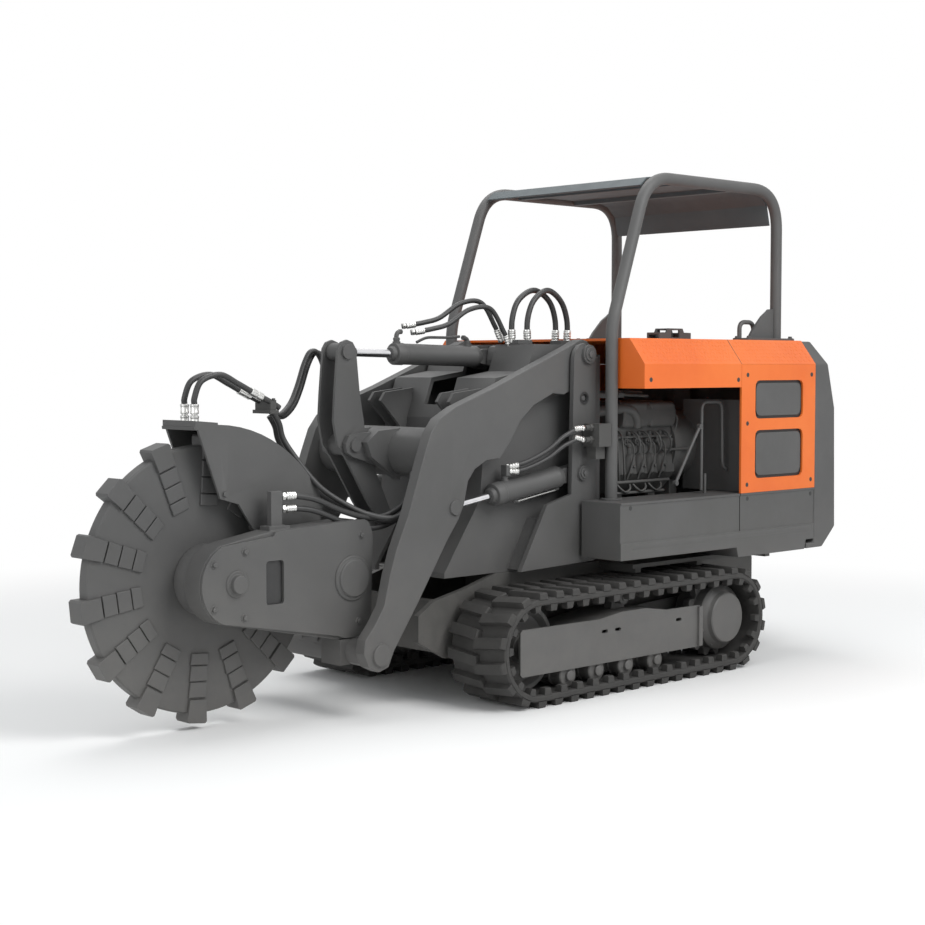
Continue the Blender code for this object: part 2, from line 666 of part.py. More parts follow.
def engine():
    base = 0.5749
    pan = [(ENGINE_X - 0.17, 0.90), (ENGINE_X + 0.17, 0.90), (ENGINE_X + 0.26, 1.00)]
    pan += [(ENGINE_X + 0.24, 1.24), (ENGINE_X - 0.24, 1.24), (ENGINE_X - 0.26, 1.00)]
    solids = [prism(pan, 0.22, 0.66, "y")]
    for k in range(4):
        y = 0.31 + 0.082 * k
        solids.append(rod((ENGINE_X + 0.15, y, 1.0), (ENGINE_X + 0.15, y, 1.22), 0.092, 10))
    corners = [(ENGINE_X - 0.13, 1.23), (ENGINE_X + 0.27, 1.23), (ENGINE_X + 0.27, 1.366)]
    corners += [(ENGINE_X - 0.13, 1.366)]
    solids.append(prism(rounded(corners, 0.05, 3), 0.245, 0.655, "y"))
    solids.append(rod((ENGINE_X, 0.15, 1.05), (ENGINE_X, 0.24, 1.05), 0.09, 16))
    for x in (ENGINE_X - 0.16, ENGINE_X + 0.14):
        for y in (0.30, 0.56):
            solids.append(box(x, x + 0.03, y, y + 0.05, base, 0.95))
    return combine("engine_block", solids, (), CAST)


def flywheel_housing():
    x = ENGINE_X + 0.08
    profile = [(0.6605, 0.0), (0.6605, 0.165), (0.69, 0.19), (0.93, 0.19), (0.97, 0.15)]
    profile += [(1.035, 0.15), (1.035, 0.0)]
    solids = [turned(profile, (x, 0, DRUM_Z), (0, 1, 0), 20)]
    solids.append(box(x - 0.05, x + 0.05, 0.78, 0.84, 0.5749, 1.0))
    return combine("flywheel_housing", solids, (), CAST)


FAN_Y = 1.19
FAN_Z = 1.22


def radiator():
    foot = BOX_FLOOR + GAP
    solids = [box(-0.36, 0.36, 1.26, 1.34, 0.90, 1.56), box(-0.34, -0.30, 1.28, 1.32, foot, 0.95)]
    solids.append(box(0.30, 0.34, 1.28, 1.32, foot, 0.95))
    solids.append(rod((0, 1.145, FAN_Z), (0, 1.27, FAN_Z), 0.022))
    return combine("radiator", solids, (), DARK)


def cooling_fan():
    bore = (0.022 + BORE_PLAY) / math.cos(math.pi / 12)
    profile = [(-0.065, 0.0), (-0.065, 0.055), (0.03, 0.055), (0.03, bore), (-0.0475, bore)]
    profile.append((-0.0475, 0.0))
    solids = [turned(profile, (0, FAN_Y, FAN_Z), (0, 1, 0), 12, math.pi / 12)]
    for k in range(6):
        blade = box(-0.045, 0.045, -0.004, 0.004, 0.045, 0.25)
        spin = Matrix.Rotation(2 * math.pi * k / 6, 4, "Y") @ Matrix.Rotation(0.6, 4, "Z")
        blade.data.transform(Matrix.Translation((0, FAN_Y, FAN_Z)) @ spin)
        solids.append(blade)
    return combine("cooling_fan", solids, (), PLASTIC, (0, FAN_Y, FAN_Z))


def bay_frame():
    """Rails, post, diagonal brace and pipe hoop in front of the engine."""
    x = 0.66
    solids = [box(x - 0.02, x + 0.02, 0.70, 0.74, BOX_TOP + GAP, HOOD_LOW)]
    solids.append(box(x - 0.02, x + 0.02, 0.02, 0.745, HOOD_LOW - 0.05, HOOD_LOW - 0.01))
    solids.append(rod((x, 0.10, HOOD_LOW - 0.03), (x, 0.70, 0.93), 0.010, 10))
    solids.append(box(x - 0.02, x + 0.02, 0.66, 0.72, BOX_TOP + GAP, 0.945))
    return solids


engine()
flywheel_housing()
radiator()
cooling_fan()
combine("bay_frame", bay_frame(), (), GREY)


def manifold():
    solids = [box(BOX_IN, BOX_IN + 0.10, -0.160, -0.075, 1.16, 1.27)]
    solids.append(box(BOX_IN + 0.01, BOX_IN + 0.07, -0.150, -0.085, 1.10, 1.17))
    solids.append(box(FLANGE_OUT + GAP, BOX_IN + 0.02, -0.145, -0.08, 1.17, 1.26))
    for z in (1.251, 1.194):
        solids.append(rod((BOX_IN + 0.05, -0.17, z), (BOX_IN + 0.05, -0.207, z), 0.014, 10))
        solids.append(rod((BOX_IN + 0.05, -0.15, z), (BOX_IN + 0.05, -0.18, z), 0.019, 6))
    return combine("manifold_block", solids, (), DARK)


manifold()


# ---- canopy -------------------------------------------------------------------------------
BAR_Z = CANOPY_TOP - CANOPY_TUBE_R


def hoop_solids():
    """Front post, leaning part, roof bar and rear post bent from one tube."""
    path = [(-0.04, BOX_TOP + GAP), (-0.04, 1.30), (-0.04, 1.70)]
    path += [(-0.025, 1.79), (0.06, 2.03), (0.145, 2.272)]
    path += arc((0.283, BAR_Z - 0.140), 0.140, 160, 90, 4)
    path += [(0.68, BAR_Z)]
    path += arc((1.09, BAR_Z - 0.190), 0.190, 90, 0, 5)
    path += [(1.28, 2.00), (1.28, HOOD_TOP + 0.004)]
    bm = bmesh.new()
    rings = []
    seg = 10
    for i, (y, z) in enumerate(path):
        before = Vector(path[max(i - 1, 0)])
        after = Vector(path[min(i + 1, len(path) - 1)])
        a = (Vector((y, z)) - before).normalized() if i else (after - Vector((y, z))).normalized()
        b = (after - Vector((y, z))).normalized() if i < len(path) - 1 else a
        along = (a + b).normalized()
        across = Vector((-along.y, along.x))
        ring = []
        for k in range(seg):
            t = 2 * math.pi * k / seg
            off = across * CANOPY_TUBE_R * math.cos(t)
            ring.append(bm.verts.new((CANOPY_HALF + CANOPY_TUBE_R * math.sin(t), y + off.x,
                                      z + off.y)))
        rings.append(ring)
    for r0, r1 in zip(rings, rings[1:]):
        for k in range(seg):
            m = (k + 1) % seg
            bm.faces.new((r0[k], r0[m], r1[m], r1[k]))
    bm.faces.new(rings[0][::-1])
    bm.faces.new(rings[-1])
    return [to_object(bm)] + foot_solids()


def canopy_roof():
    half = CANOPY_HALF - CANOPY_TUBE_R * math.cos(math.pi / 10) - GAP
    thick = 0.010
    path = [(0.195, -0.070), (0.243, -0.028), (0.29, -0.023), (1.09, -0.023), (1.17, -0.044)]
    path += [(1.235, -0.10), (1.262, -0.21), (1.252, -0.21), (1.226, -0.105), (1.165, -0.053)]
    path += [(1.09, -0.033), (0.29, -0.033), (0.250, -0.037), (0.205, -0.076)]
    solids = [prism([(y, CANOPY_TOP + drop) for y, drop in path], -half, half)]
    sheet = CANOPY_TOP - 0.023 - thick
    for y in (0.45, 0.90):
        solids.append(box(-half, half, y - 0.02, y + 0.02, sheet - 0.024, sheet + thick / 2))
    return combine("canopy_roof", solids, (), DARK)


def foot_solids():
    """Bolted foot of the rear post with its gusset."""
    x = CANOPY_HALF
    top = HOOD_TOP + GAP
    plate = [(x - 0.055, 0.97), (x + 0.055, 0.97), (x + 0.055, 1.385), (x - 0.055, 1.385)]
    solids = [prism(rounded(plate, 0.02, 2), top, top + 0.011, "z")]
    web = [(1.05, top + 0.005), (1.2485, top + 0.005), (1.2485, 1.85), (1.225, 1.85)]
    web += [(1.16, 1.825), (1.09, 1.76)]
    solids.append(prism(web, x - 0.008, x + 0.008))
    return solids


def lifting_loop():
    z = HOOD_TOP + 0.005
    path = [(1.005, z), (1.005, z + 0.06), (1.02, z + 0.082), (1.045, z + 0.09)]
    path += [(1.085, z + 0.09), (1.11, z + 0.082), (1.125, z + 0.06), (1.125, z)]
    return hose([(CANOPY_HALF - 0.030, y, up) for y, up in path], 0.008, 3.5)


combine("canopy_hoop_left", hoop_solids() + [lifting_loop()], (), GREY)
combine("canopy_hoop_right", hoop_solids(), (), GREY, None, True)
canopy_roof()


# ---- lift arms and linkage ----------------------------------------------------------------
CYL_X = (ARM_IN + ARM_OUT) / 2
HEAD_PIN_R = 0.030
CRANK_PLATE = 0.015
CRANK_IN = 0.045
EAR_IN = CRANK_IN + CRANK_PLATE + 0.006
EYE_HALF = 0.015
SLOT_HALF = 0.018


def along_yz(start, end, distance):
    """A point on the way from one (y, z) pin towards another."""
    way = Vector(end) - Vector(start)
    spot = Vector(start) + way.normalized() * distance
    return (spot.x, spot.y)


def arm_solids():
    """Curved plate from the tower-top pin down to the head pin."""
    front = [(-0.188, 1.646), (-0.704, 1.449), (-0.960, 1.362), (-1.060, 1.310), (-1.112, 1.245)]
    front += [(-1.155, 1.139), (-1.246, 0.890), (-1.317, 0.741), (-1.355, 0.630)]
    front += [(-1.388, 0.500), (-1.440, 0.425), (-1.497, 0.360), (-1.505, 0.300)]
    foot = [(-1.480, 0.240), (-1.420, 0.212), (-1.365, 0.228)]
    rear = [(-1.330, 0.300), (-1.181, 0.507), (-1.009, 0.763), (-0.940, 0.852), (-0.905, 0.920)]
    rear += [(-0.880, 1.023), (-0.836, 1.076), (-0.762, 1.112), (-0.675, 1.118)]
    rear += [(-0.610, 1.190), (-0.539, 1.289), (-0.450, 1.360), (-0.317, 1.415)]
    rear += [(-0.240, 1.408), (-0.187, 1.430), (-0.110, 1.510)]
    crown = arc(ARM_PIN, 0.072, -40, 115, 6)
    solids = [prism(front + foot + rear + crown, ARM_IN, ARM_OUT)]
    solids.append(pin(HEAD_PIN, ARM_OUT - 0.01, ARM_OUT + 0.014, 0.050, 16))
    solids.append(pin(ROD_PIN, ARM_OUT - 0.01, ARM_OUT + 0.012, 0.036))
    return solids


def arm_cuts():
    cuts = [bore_cut(ARM_PIN, ARM_IN - 0.02, ARM_OUT + 0.05, ARM_PIN_R)]
    cuts.append(bore_cut(HEAD_PIN, ARM_IN - 0.02, ARM_OUT - 0.006, HEAD_PIN_R))
    pocket = arc(ROD_PIN, 0.060, 100, 260, 6) + [(-0.80, 0.80), (-0.80, 1.06)]
    cuts.append(prism(pocket, CYL_X - SLOT_HALF, CYL_X + SLOT_HALF))
    return cuts


def cross_tube():
    reach = ARM_IN - GAP
    solids = [turned([(-reach, CROSS_R - 0.018), (-reach, CROSS_R), (reach, CROSS_R),
                      (reach, CROSS_R - 0.018)], (0, *CROSS_TUBE), (1, 0, 0), 20)]
    ear = stadium(CROSS_TUBE, CRANK_PIN, 0.098, 0.055, 4)
    for side in mirrored(ear, EAR_IN, EAR_IN + 0.022):
        solids.append(side)
    wedge = [(-1.02, 1.02), (-1.19, 1.13), (-1.22, 1.20), (-1.15, 1.25), (-0.98, 1.262)]
    solids += mirrored(wedge, EAR_IN + 0.010, EAR_IN + 0.060)
    solids.append(pin(CRANK_PIN, -EAR_IN - 0.034, EAR_IN + 0.034, PIN_R))
    cuts = [turned([(-0.5, 0), (-0.5, CROSS_R - 0.018), (0.5, CROSS_R - 0.018), (0.5, 0)],
                   (0, *CROSS_TUBE), (1, 0, 0), 20)]
    return combine("cross_tube", solids, cuts, GREY)


def bell_crank():
    outline = arc(CRANK_TOP, 0.055, 15, 165, 4)
    outline += [(-1.352, 1.42), (-1.360, 1.30), (-1.338, 1.19)]
    outline += arc(CRANK_PIN, 0.062, 200, 235, 2)
    outline += [(-1.155, 0.915)]
    outline += arc(CRANK_LOW, 0.040, 195, 360, 5)
    outline += [(-1.020, 0.875), (-1.085, 1.010), (-1.165, 1.170), (-1.182, 1.30), (-1.205, 1.42)]
    solids = mirrored(outline, CRANK_IN, CRANK_IN + CRANK_PLATE)
    solids.append(pin(CRANK_PIN, -CRANK_IN - 0.018, CRANK_IN + 0.018, PIN_R + 0.020))
    solids.append(pin(CRANK_LOW, -CRANK_IN - 0.012, CRANK_IN + 0.012, 0.020))
    for side in (-1, 1):
        ends = sorted((side * (CRANK_IN + 0.010), side * (CRANK_IN + CRANK_PLATE + 0.012)))
        solids.append(pin(CRANK_TOP, ends[0], ends[1], 0.034))
    cuts = [bore_cut(CRANK_PIN, -0.2, 0.2, PIN_R)]
    return combine("bell_crank", solids, cuts, GREY, (0, *CRANK_PIN))


def tilt_link():
    outline = stadium(CRANK_LOW, LINK_PIN, 0.038, 0.036, 6)
    solids = [prism(outline, -CRANK_IN + 0.003, CRANK_IN - 0.003)]
    cuts = [bore_cut(CRANK_LOW, -0.2, 0.2, 0.020)]
    middle = stadium(along_yz(CRANK_LOW, LINK_PIN, 0.08), along_yz(CRANK_LOW, LINK_PIN, 0.19),
                     0.05, 0.05, 3)
    for lo, hi in ((-0.1, -0.022), (0.022, 0.1)):
        cuts.append(prism(middle, lo, hi))
    return combine("tilt_link", solids, cuts, GREY, (0, *CRANK_LOW))


# Each cylinder is set out along its own line from the rear pin; the rod slides in the barrel.
LIFT_LENGTH = math.dist(CYL_PIN, ROD_PIN)
LIFT_BARREL_R = 0.050
LIFT_BARREL_END = 0.575
LIFT_ROD_R = 0.016
TILT_LENGTH = math.dist(TILT_PIN, CRANK_TOP)
TILT_BARREL_R = 0.050
TILT_BARREL_END = 0.634
TILT_ROD_R = 0.019
EYE_R = 0.040


def cylinder_barrel(x, rear, tip, radius, start, end, rod_r, pin_r, eye_half):
    """Barrel with its rear eye, gland and port bosses, bored out for the rod."""
    def spot(distance, dx=0.0):
        return (x + dx, *along_yz(rear, tip, distance))

    way = (Vector(spot(1.0)) - Vector(spot(0.0))).normalized()
    hole = rod_r + BORE_PLAY
    profile = [(start, 0.0), (start, radius * 0.80), (start + 0.012, radius)]
    profile.append((end - 0.075, radius))
    profile += [(end - 0.072, radius * 1.06), (end - 0.02, radius * 1.06), (end - 0.016, hole * 1.7)]
    profile += [(end, hole * 1.7), (end, 0.0)]
    solids = [turned(profile, spot(0.0), way, 16)]
    eye = stadium(rear, along_yz(rear, tip, start), EYE_R, EYE_R * 0.9, 4)
    solids.append(prism(eye, x - eye_half, x + eye_half))
    cuts = [bore_cut(rear, x - 0.2, x + 0.2, pin_r)]
    seg = 12
    wide = hole / math.cos(math.pi / seg)
    bore = [(start + 0.05, 0.0), (start + 0.05, wide), (end + 0.1, wide), (end + 0.1, 0.0)]
    cuts.append(turned(bore, spot(0.0), way, seg, math.pi / seg))
    return solids, cuts


def cylinder_rod(x, rear, tip, start, rod_r, eye_half, eye_r):
    """Chromed rod with the eye at its front end."""
    length = math.dist(rear, tip)
    way = (Vector((x, *tip)) - Vector((x, *rear))).normalized()
    profile = [(start, 0.0), (start, rod_r), (length - eye_r * 0.6, rod_r)]
    profile.append((length - eye_r * 0.6, 0.0))
    bar = turned(profile, (x, *rear), way, 12)
    back = along_yz(rear, tip, length - eye_r * 1.5)
    eye = prism(stadium(back, tip, eye_r * 0.62, eye_r, 5), x - eye_half, x + eye_half)
    return [bar, eye]


def lift_barrel_parts():
    return cylinder_barrel(CYL_X, CYL_PIN, ROD_PIN, LIFT_BARREL_R, 0.092,
                           LIFT_BARREL_END, LIFT_ROD_R, CYL_PIN_R, 0.028)


def lift_barrel_solids():
    solids, cuts = lift_barrel_parts()
    for ob in cuts:
        bpy.data.objects.remove(ob, do_unlink=True)
    port = along_yz(CYL_PIN, ROD_PIN, 0.47)
    solids.append(rod((CYL_X, port[0], port[1]), (CYL_X, port[0], port[1] + 0.075), 0.016, 10))
    tail = along_yz(CYL_PIN, ROD_PIN, 0.115)
    solids.append(rod((CYL_X, tail[0], tail[1]), (CYL_X, tail[0], tail[1] - 0.066), 0.014, 10))
    low = along_yz(CYL_PIN, ROD_PIN, 0.40)
    solids.append(rod((CYL_X, tail[0], tail[1] - 0.060), (CYL_X, low[0], low[1] - 0.060), 0.009, 8))
    solids.append(rod((CYL_X, low[0] + 0.01, low[1]), (CYL_X, low[0] + 0.01, low[1] - 0.066),
                      0.014, 10))
    return solids


def lift_barrel_cuts():
    solids, cuts = lift_barrel_parts()
    for ob in solids:
        bpy.data.objects.remove(ob, do_unlink=True)
    return cuts


def lift_rod_solids():
    start = LIFT_BARREL_END - 0.22
    return cylinder_rod(CYL_X, CYL_PIN, ROD_PIN, start, LIFT_ROD_R, EYE_HALF, 0.034)


def tilt_cylinder():
    solids, cuts = cylinder_barrel(0.0, TILT_PIN, CRANK_TOP, TILT_BARREL_R, 0.055,
                                   TILT_BARREL_END, TILT_ROD_R, 0.022, 0.042)
    front = along_yz(TILT_PIN, CRANK_TOP, 0.590)
    rear = along_yz(TILT_PIN, CRANK_TOP, 0.13)
    for port in (front, rear):
        solids.append(rod((0, port[0], port[1]), (0, port[0], port[1] + 0.090), 0.016, 10))
    combine("tilt_barrel", solids, cuts, GREY, (0, *TILT_PIN))
    start = TILT_BARREL_END - 0.22
    bar = cylinder_rod(0.0, TILT_PIN, CRANK_TOP, start, TILT_ROD_R, CRANK_IN - 0.004, 0.042)
    combine("tilt_rod", bar, (), CHROME)


pair("lift_arm", arm_solids, arm_cuts, GREY, (CYL_X, *ARM_PIN))
cross_tube()
bell_crank()
tilt_link()
pair("lift_barrel", lift_barrel_solids, lift_barrel_cuts, GREY, (CYL_X, *CYL_PIN))
pair("lift_rod", lift_rod_solids, None, CHROME)
tilt_cylinder()


# ---- grinder head -------------------------------------------------------------------------
HUB_OUT = CASE_IN - GAP
SHAFT_R = 0.034
MOTOR_AT = (-1.43, 0.613)
WHEEL_AT = (WHEEL_Y, WHEEL_Z)


def on_wheel(radius, degrees, side=0.0):
    """A point of the wheel's plane; degrees go up from straight ahead, side is tangential."""
    a = math.radians(degrees)
    y = WHEEL_Y - radius * math.cos(a) + side * math.sin(a)
    z = WHEEL_Z + radius * math.sin(a) + side * math.cos(a)
    return (y, z)


def case_outline(inset):
    shape = arc(WHEEL_AT, 0.180 - inset, 115, 245, 8)
    shape += [(-1.50, 0.345 + inset), (-1.425, 0.350 + inset), (-1.355 - inset, 0.385 + inset)]
    shape += [(-1.322 - inset, 0.440), (-1.308 - inset, 0.800), (-1.340 - inset, 0.850 - inset)]
    shape += [(-1.41, 0.871 - inset), (-1.867, 0.846 - inset)]
    return shape


def head_frame():
    """Cross beam between the arms with the lugs that the tilt link pushes."""
    reach = ARM_IN - 0.003
    solids = [pin(HEAD_PIN, -reach, reach, 0.062, 16)]
    for side in (-1, 1):
        ends = sorted((side * (reach - 0.02), side * (ARM_OUT - 0.008)))
        solids.append(pin(HEAD_PIN, ends[0], ends[1], HEAD_PIN_R))
    lug = [(-1.470, 0.300), (-1.350, 0.270), (-1.262, 0.700)]
    lug += arc(LINK_PIN, 0.040, -20, 150, 6)
    lug += [(-1.395, 0.560)]
    solids += mirrored(lug, CRANK_IN + 0.001, CRANK_IN + 0.019)
    for side in (-1, 1):
        ends = sorted((side * (CRANK_IN + 0.015), side * (CRANK_IN + 0.030)))
        solids.append(pin(LINK_PIN, ends[0], ends[1], 0.026))
    solids.append(box(-CRANK_IN - 0.01, CRANK_IN + 0.01, -1.440, -1.375, 0.30, 0.44))
    saddle = [(-1.500, 0.230), (-1.330, 0.230), (-1.345, 0.3446), (-1.498, 0.3446)]
    solids.append(prism(saddle, CASE_IN - 0.01, CASE_OUT + 0.01))
    return combine("head_frame", solids, (), GREY, (0, *HEAD_PIN))


def drive_case():
    solids = [prism(case_outline(0.0), CASE_IN, CASE_OUT)]
    post = [(-1.835, 0.82), (-1.775, 0.82), (-1.775, 1.012), (-1.835, 1.012)]
    solids.append(prism(post, 0.185, 0.215))
    solids.append(box(0.165, 0.235, -1.86, -1.75, 0.835, 0.865))
    motor = [(0.075, 0), (0.075, 0.055), (0.090, 0.072), (CASE_IN + 0.01, 0.078)]
    motor.append((CASE_IN + 0.01, 0))
    solids.append(turned(motor, (0, *MOTOR_AT), (1, 0, 0), 16))
    cuts = [bore_cut(WHEEL_AT, CASE_IN - 0.1, CASE_OUT + 0.1, SHAFT_R)]
    slot = stadium((-1.858, 0.585), (-1.858, 0.675), 0.043, 0.043, 5)
    cuts.append(prism(slot, CASE_OUT - 0.03, CASE_OUT + 0.1))
    return combine("drive_case", solids, cuts, GREY)


def drive_cover():
    solids = [prism(case_outline(0.004), CASE_OUT + GAP, COVER_OUT)]
    solids.append(turned([(COVER_OUT - 0.01, 0), (COVER_OUT - 0.01, 0.058), (COVER_OUT + 0.008, 0.055),
                          (COVER_OUT + 0.008, 0.042), (COVER_OUT + 0.030, 0.038),
                          (COVER_OUT + 0.030, 0)], (0, *WHEEL_AT), (1, 0, 0), 20))
    solids.append(turned([(COVER_OUT - 0.01, 0), (COVER_OUT - 0.01, 0.100), (COVER_OUT + 0.014, 0.094),
                          (COVER_OUT + 0.014, 0.084), (COVER_OUT + 0.020, 0.080),
                          (COVER_OUT + 0.020, 0)], (0, *MOTOR_AT), (1, 0, 0), 24))
    bolts = [(-2.015, 0.772), (-2.172, 0.730), (-2.175, 0.545), (-2.020, 0.495), (-1.378, 0.800)]
    bolts.append((-1.395, 0.420))
    for at in bolts:
        solids.append(pin(at, COVER_OUT - 0.005, COVER_OUT + 0.010, 0.013, 6))
    cuts = []
    slot = stadium((-1.858, 0.585), (-1.858, 0.675), 0.048, 0.048, 5)
    cuts.append(prism(slot, CASE_OUT - 0.1, COVER_OUT + 0.1))
    return combine("drive_cover", solids, cuts, GREY)


def cutter_wheel():
    spin = math.radians(FIRST_TOOTH)
    solids = [turned([(-DISC_HALF, 0), (-DISC_HALF, DISC_R), (DISC_HALF, DISC_R), (DISC_HALF, 0)],
                     (0, *WHEEL_AT), (1, 0, 0), 42, spin)]
    half = DISC_HALF + 0.011
    for k in range(TEETH):
        a = FIRST_TOOTH - 360 * k / TEETH
        strip = [on_wheel(0.314, a, -0.020), on_wheel(0.314, a, 0.020)]
        strip += [on_wheel(0.600, a, 0.026), on_wheel(0.600, a, -0.030)]
        solids.append(prism(strip, -half, half))
        tip = [on_wheel(0.560, a, -0.040), on_wheel(0.560, a, 0.038), on_wheel(0.596, a, 0.045)]
        tip += [on_wheel(TOOTH_R, a, 0.030), on_wheel(TOOTH_R, a, -0.045)]
        solids.append(prism(tip, -half - 0.004, half + 0.004))
    return combine("cutter_wheel", solids, (), STEEL, (0, *WHEEL_AT))


def wheel_hub():
    profile = [(DISC_HALF + GAP, 0), (DISC_HALF + GAP, 0.150), (0.045, 0.152), (0.135, 0.105)]
    profile += [(HUB_OUT, 0.095), (HUB_OUT, SHAFT_R), (CASE_OUT - 0.002, SHAFT_R)]
    profile.append((CASE_OUT - 0.002, 0))
    return combine("wheel_hub", [turned(profile, (0, *WHEEL_AT), (1, 0, 0), 24)], (), DARK,
                   (0, *WHEEL_AT))


def guard():
    """Hood over the rear top of the wheel with an open box at its front."""
    inner = GUARD_R - 0.014
    first, last = 27, 99
    shell = arc(WHEEL_AT, GUARD_R, first, last, 14) + arc(WHEEL_AT, inner, last, first, 14)
    solids = [prism(shell, -GUARD_HALF, GUARD_HALF)]
    side = arc(WHEEL_AT, GUARD_R - 0.003, first, 92, 12)
    side += [(-2.150, 1.302), (-2.030, 0.985), (-1.935, 0.958), (-1.850, 0.835)]
    side += [(-1.60, 0.790), (-1.50, 0.820)]
    solids += mirrored(side, GUARD_HALF - 0.014, GUARD_HALF)
    lip = [(-2.155, 1.292), (-2.155, 1.318), (-2.040, 1.308), (-2.040, 1.290)]
    solids.append(prism(lip, -GUARD_HALF, GUARD_HALF))
    solids.append(box(GUARD_HALF - 0.012, CASE_IN - GAP, -1.74, -1.60, 0.792, 0.842))
    solids.append(pin((-2.008, 1.006), GUARD_HALF - 0.01, GUARD_HALF + 0.010, 0.013, 6))
    return combine("wheel_guard", solids, (), GREY)


head_frame()
drive_case()
drive_cover()
cutter_wheel()
wheel_hub()
guard()


# ---- hoses, made whole along their real routes --------------------------------------------
HOSE_R = 0.013


def hose_pair(name, first, second, ends, radius=HOSE_R):
    """Two hoses held together by a clamp block at each listed box."""
    solids = [hose(first, radius), hose(second, radius)]
    for block in ends:
        solids.append(box(*block))
    return combine(name, solids, (), HOSE)


guard_top = WHEEL_Z + GUARD_R
arch = [(-2.100, guard_top + 0.03), (-2.100, 1.40), (-2.06, 1.47), (-1.97, 1.495), (-1.88, 1.455)]
arch += [(-1.80, 1.415), (-1.70, 1.362), (-1.66, 1.335)]
hose_pair("guard_hoses", [(-0.035, y, z) for y, z in arch], [(0.035, y, z) for y, z in arch],
          [(-0.060, 0.060, -2.125, -2.075, guard_top + 0.0155, guard_top + 0.045),
           (-0.060, 0.060, -1.715, -1.685, 1.345, 1.382)])

case_run = [(-1.770, 0.989), (-1.70, 0.990), (-1.60, 0.985), (-1.45, 0.965), (-1.30, 0.99),
            (-1.17, 1.06), (-1.105, 1.12)]
second = [(y, z - 0.056 + 0.020 * k / 6) for k, (y, z) in enumerate(case_run)]
hose_pair("case_hoses", [(0.200 + 0.012 * k, y, z) for k, (y, z) in enumerate(case_run)],
          [(0.200 + 0.012 * k, y, z) for k, (y, z) in enumerate(second)],
          [(0.186, 0.214, -1.7745, -1.745, 0.915, 1.005),
           (0.250, 0.290, -1.130, -1.107, 1.070, 1.135)])

arm_run = [(-1.638, 1.316), (-1.58, 1.27), (-1.50, 1.17), (-1.42, 1.06), (-1.33, 1.02),
           (-1.22, 1.08), (-1.14, 1.17), (-1.108, 1.215)]
across = [0.035, 0.07, 0.12, 0.165, 0.20, 0.22, 0.225, 0.225]
hose_pair("head_to_arm_hoses", [(x, y, z) for x, (y, z) in zip(across, arm_run)],
          [(x - 0.070 + 0.005 * k, y, z) for k, (x, (y, z)) in enumerate(zip(across, arm_run))],
          [(0.170, 0.245, -1.120, -1.0850, 1.195, 1.235)])

loops = []
for front, rear in ((-0.348, -0.044), (-0.277, 0.004)):
    middle = (front + rear) / 2
    crest = TOWER_TOP + 0.265
    line = [(front, TOWER_TOP + 0.005), (front, TOWER_TOP + 0.12), (front + 0.045, crest - 0.05)]
    line += [(middle, crest), (rear - 0.045, crest - 0.05), (rear, TOWER_TOP + 0.12)]
    line.append((rear, TOWER_TOP + 0.005))
    side = 0.19 if front < -0.3 else 0.225
    loops.append([(side, y, z) for y, z in line])
hose_pair("tower_hoses", loops[0], loops[1],
          [(0.170, 0.245, -0.358, -0.262, TOWER_TOP + GAP, TOWER_TOP + 0.026),
           (0.170, 0.245, -0.060, 0.015, TOWER_TOP + GAP, TOWER_TOP + 0.026)], 0.016)

tilt_run = [(-0.900, 1.70), (-0.905, 1.76), (-0.86, 1.79), (-0.70, 1.80), (-0.55, 1.86)]
tilt_run += [(-0.46, 1.85), (-0.385, 1.74), (-0.355, TOWER_TOP + 0.01)]
hose_pair("tilt_hoses", [(0.012 + 0.016 * k, y, z) for k, (y, z) in enumerate(tilt_run)],
          [(0.044 + 0.016 * k, y + 0.01, z + 0.012) for k, (y, z) in enumerate(tilt_run)],
          [(0.105, 0.170, -0.3595, -0.330, TOWER_TOP + GAP, TOWER_TOP + 0.026)])

lift_run = [(-0.2100, 1.251), (-0.240, 1.251), (-0.33, 1.215), (-0.42, 1.15), (-0.52, 1.10)]
lift_run += [(-0.590, 1.080), (-0.6145, 1.074)]
across = [0.538, 0.535, 0.52, 0.495, 0.46, 0.43, CYL_X]
hose_pair("lift_hoses", [(x, y, z) for x, (y, z) in zip(across, lift_run)],
          [(x, y, z - 0.057 * (1 - k / 9)) for k, (x, (y, z)) in enumerate(zip(across, lift_run))],
          [(0.392, 0.430, -0.628, -0.600, 1.0354, 1.085)], 0.011)

# ---- carry the whole machine so that the origin is the middle of its box's bottom ----------
carrier = bpy.data.objects.new("machine", None)
bpy.context.scene.collection.objects.link(carrier)
near = []
far = []
for node in NODES:
    for vert in node.data.vertices:
        near.append(vert.co.y + node.location.y)
        far.append(vert.co.z + node.location.z)
carrier.location = (0, -(min(near) + max(near)) / 2, -min(far))
for node in NODES:
    node.parent = carrier
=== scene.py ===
# %% [markdown]
# # A tracked stump grinder
# The imported CAD model gives every pivot, pin and plate.  This notebook dresses it: it rounds the
# welded plates, remakes the rubber tracks, the cutter wheel, the cylinders, the hoses and the
# engine in finer detail, and paints everything with node materials.
# First the frame is loaded.

# %% Load the frame
import json
import math

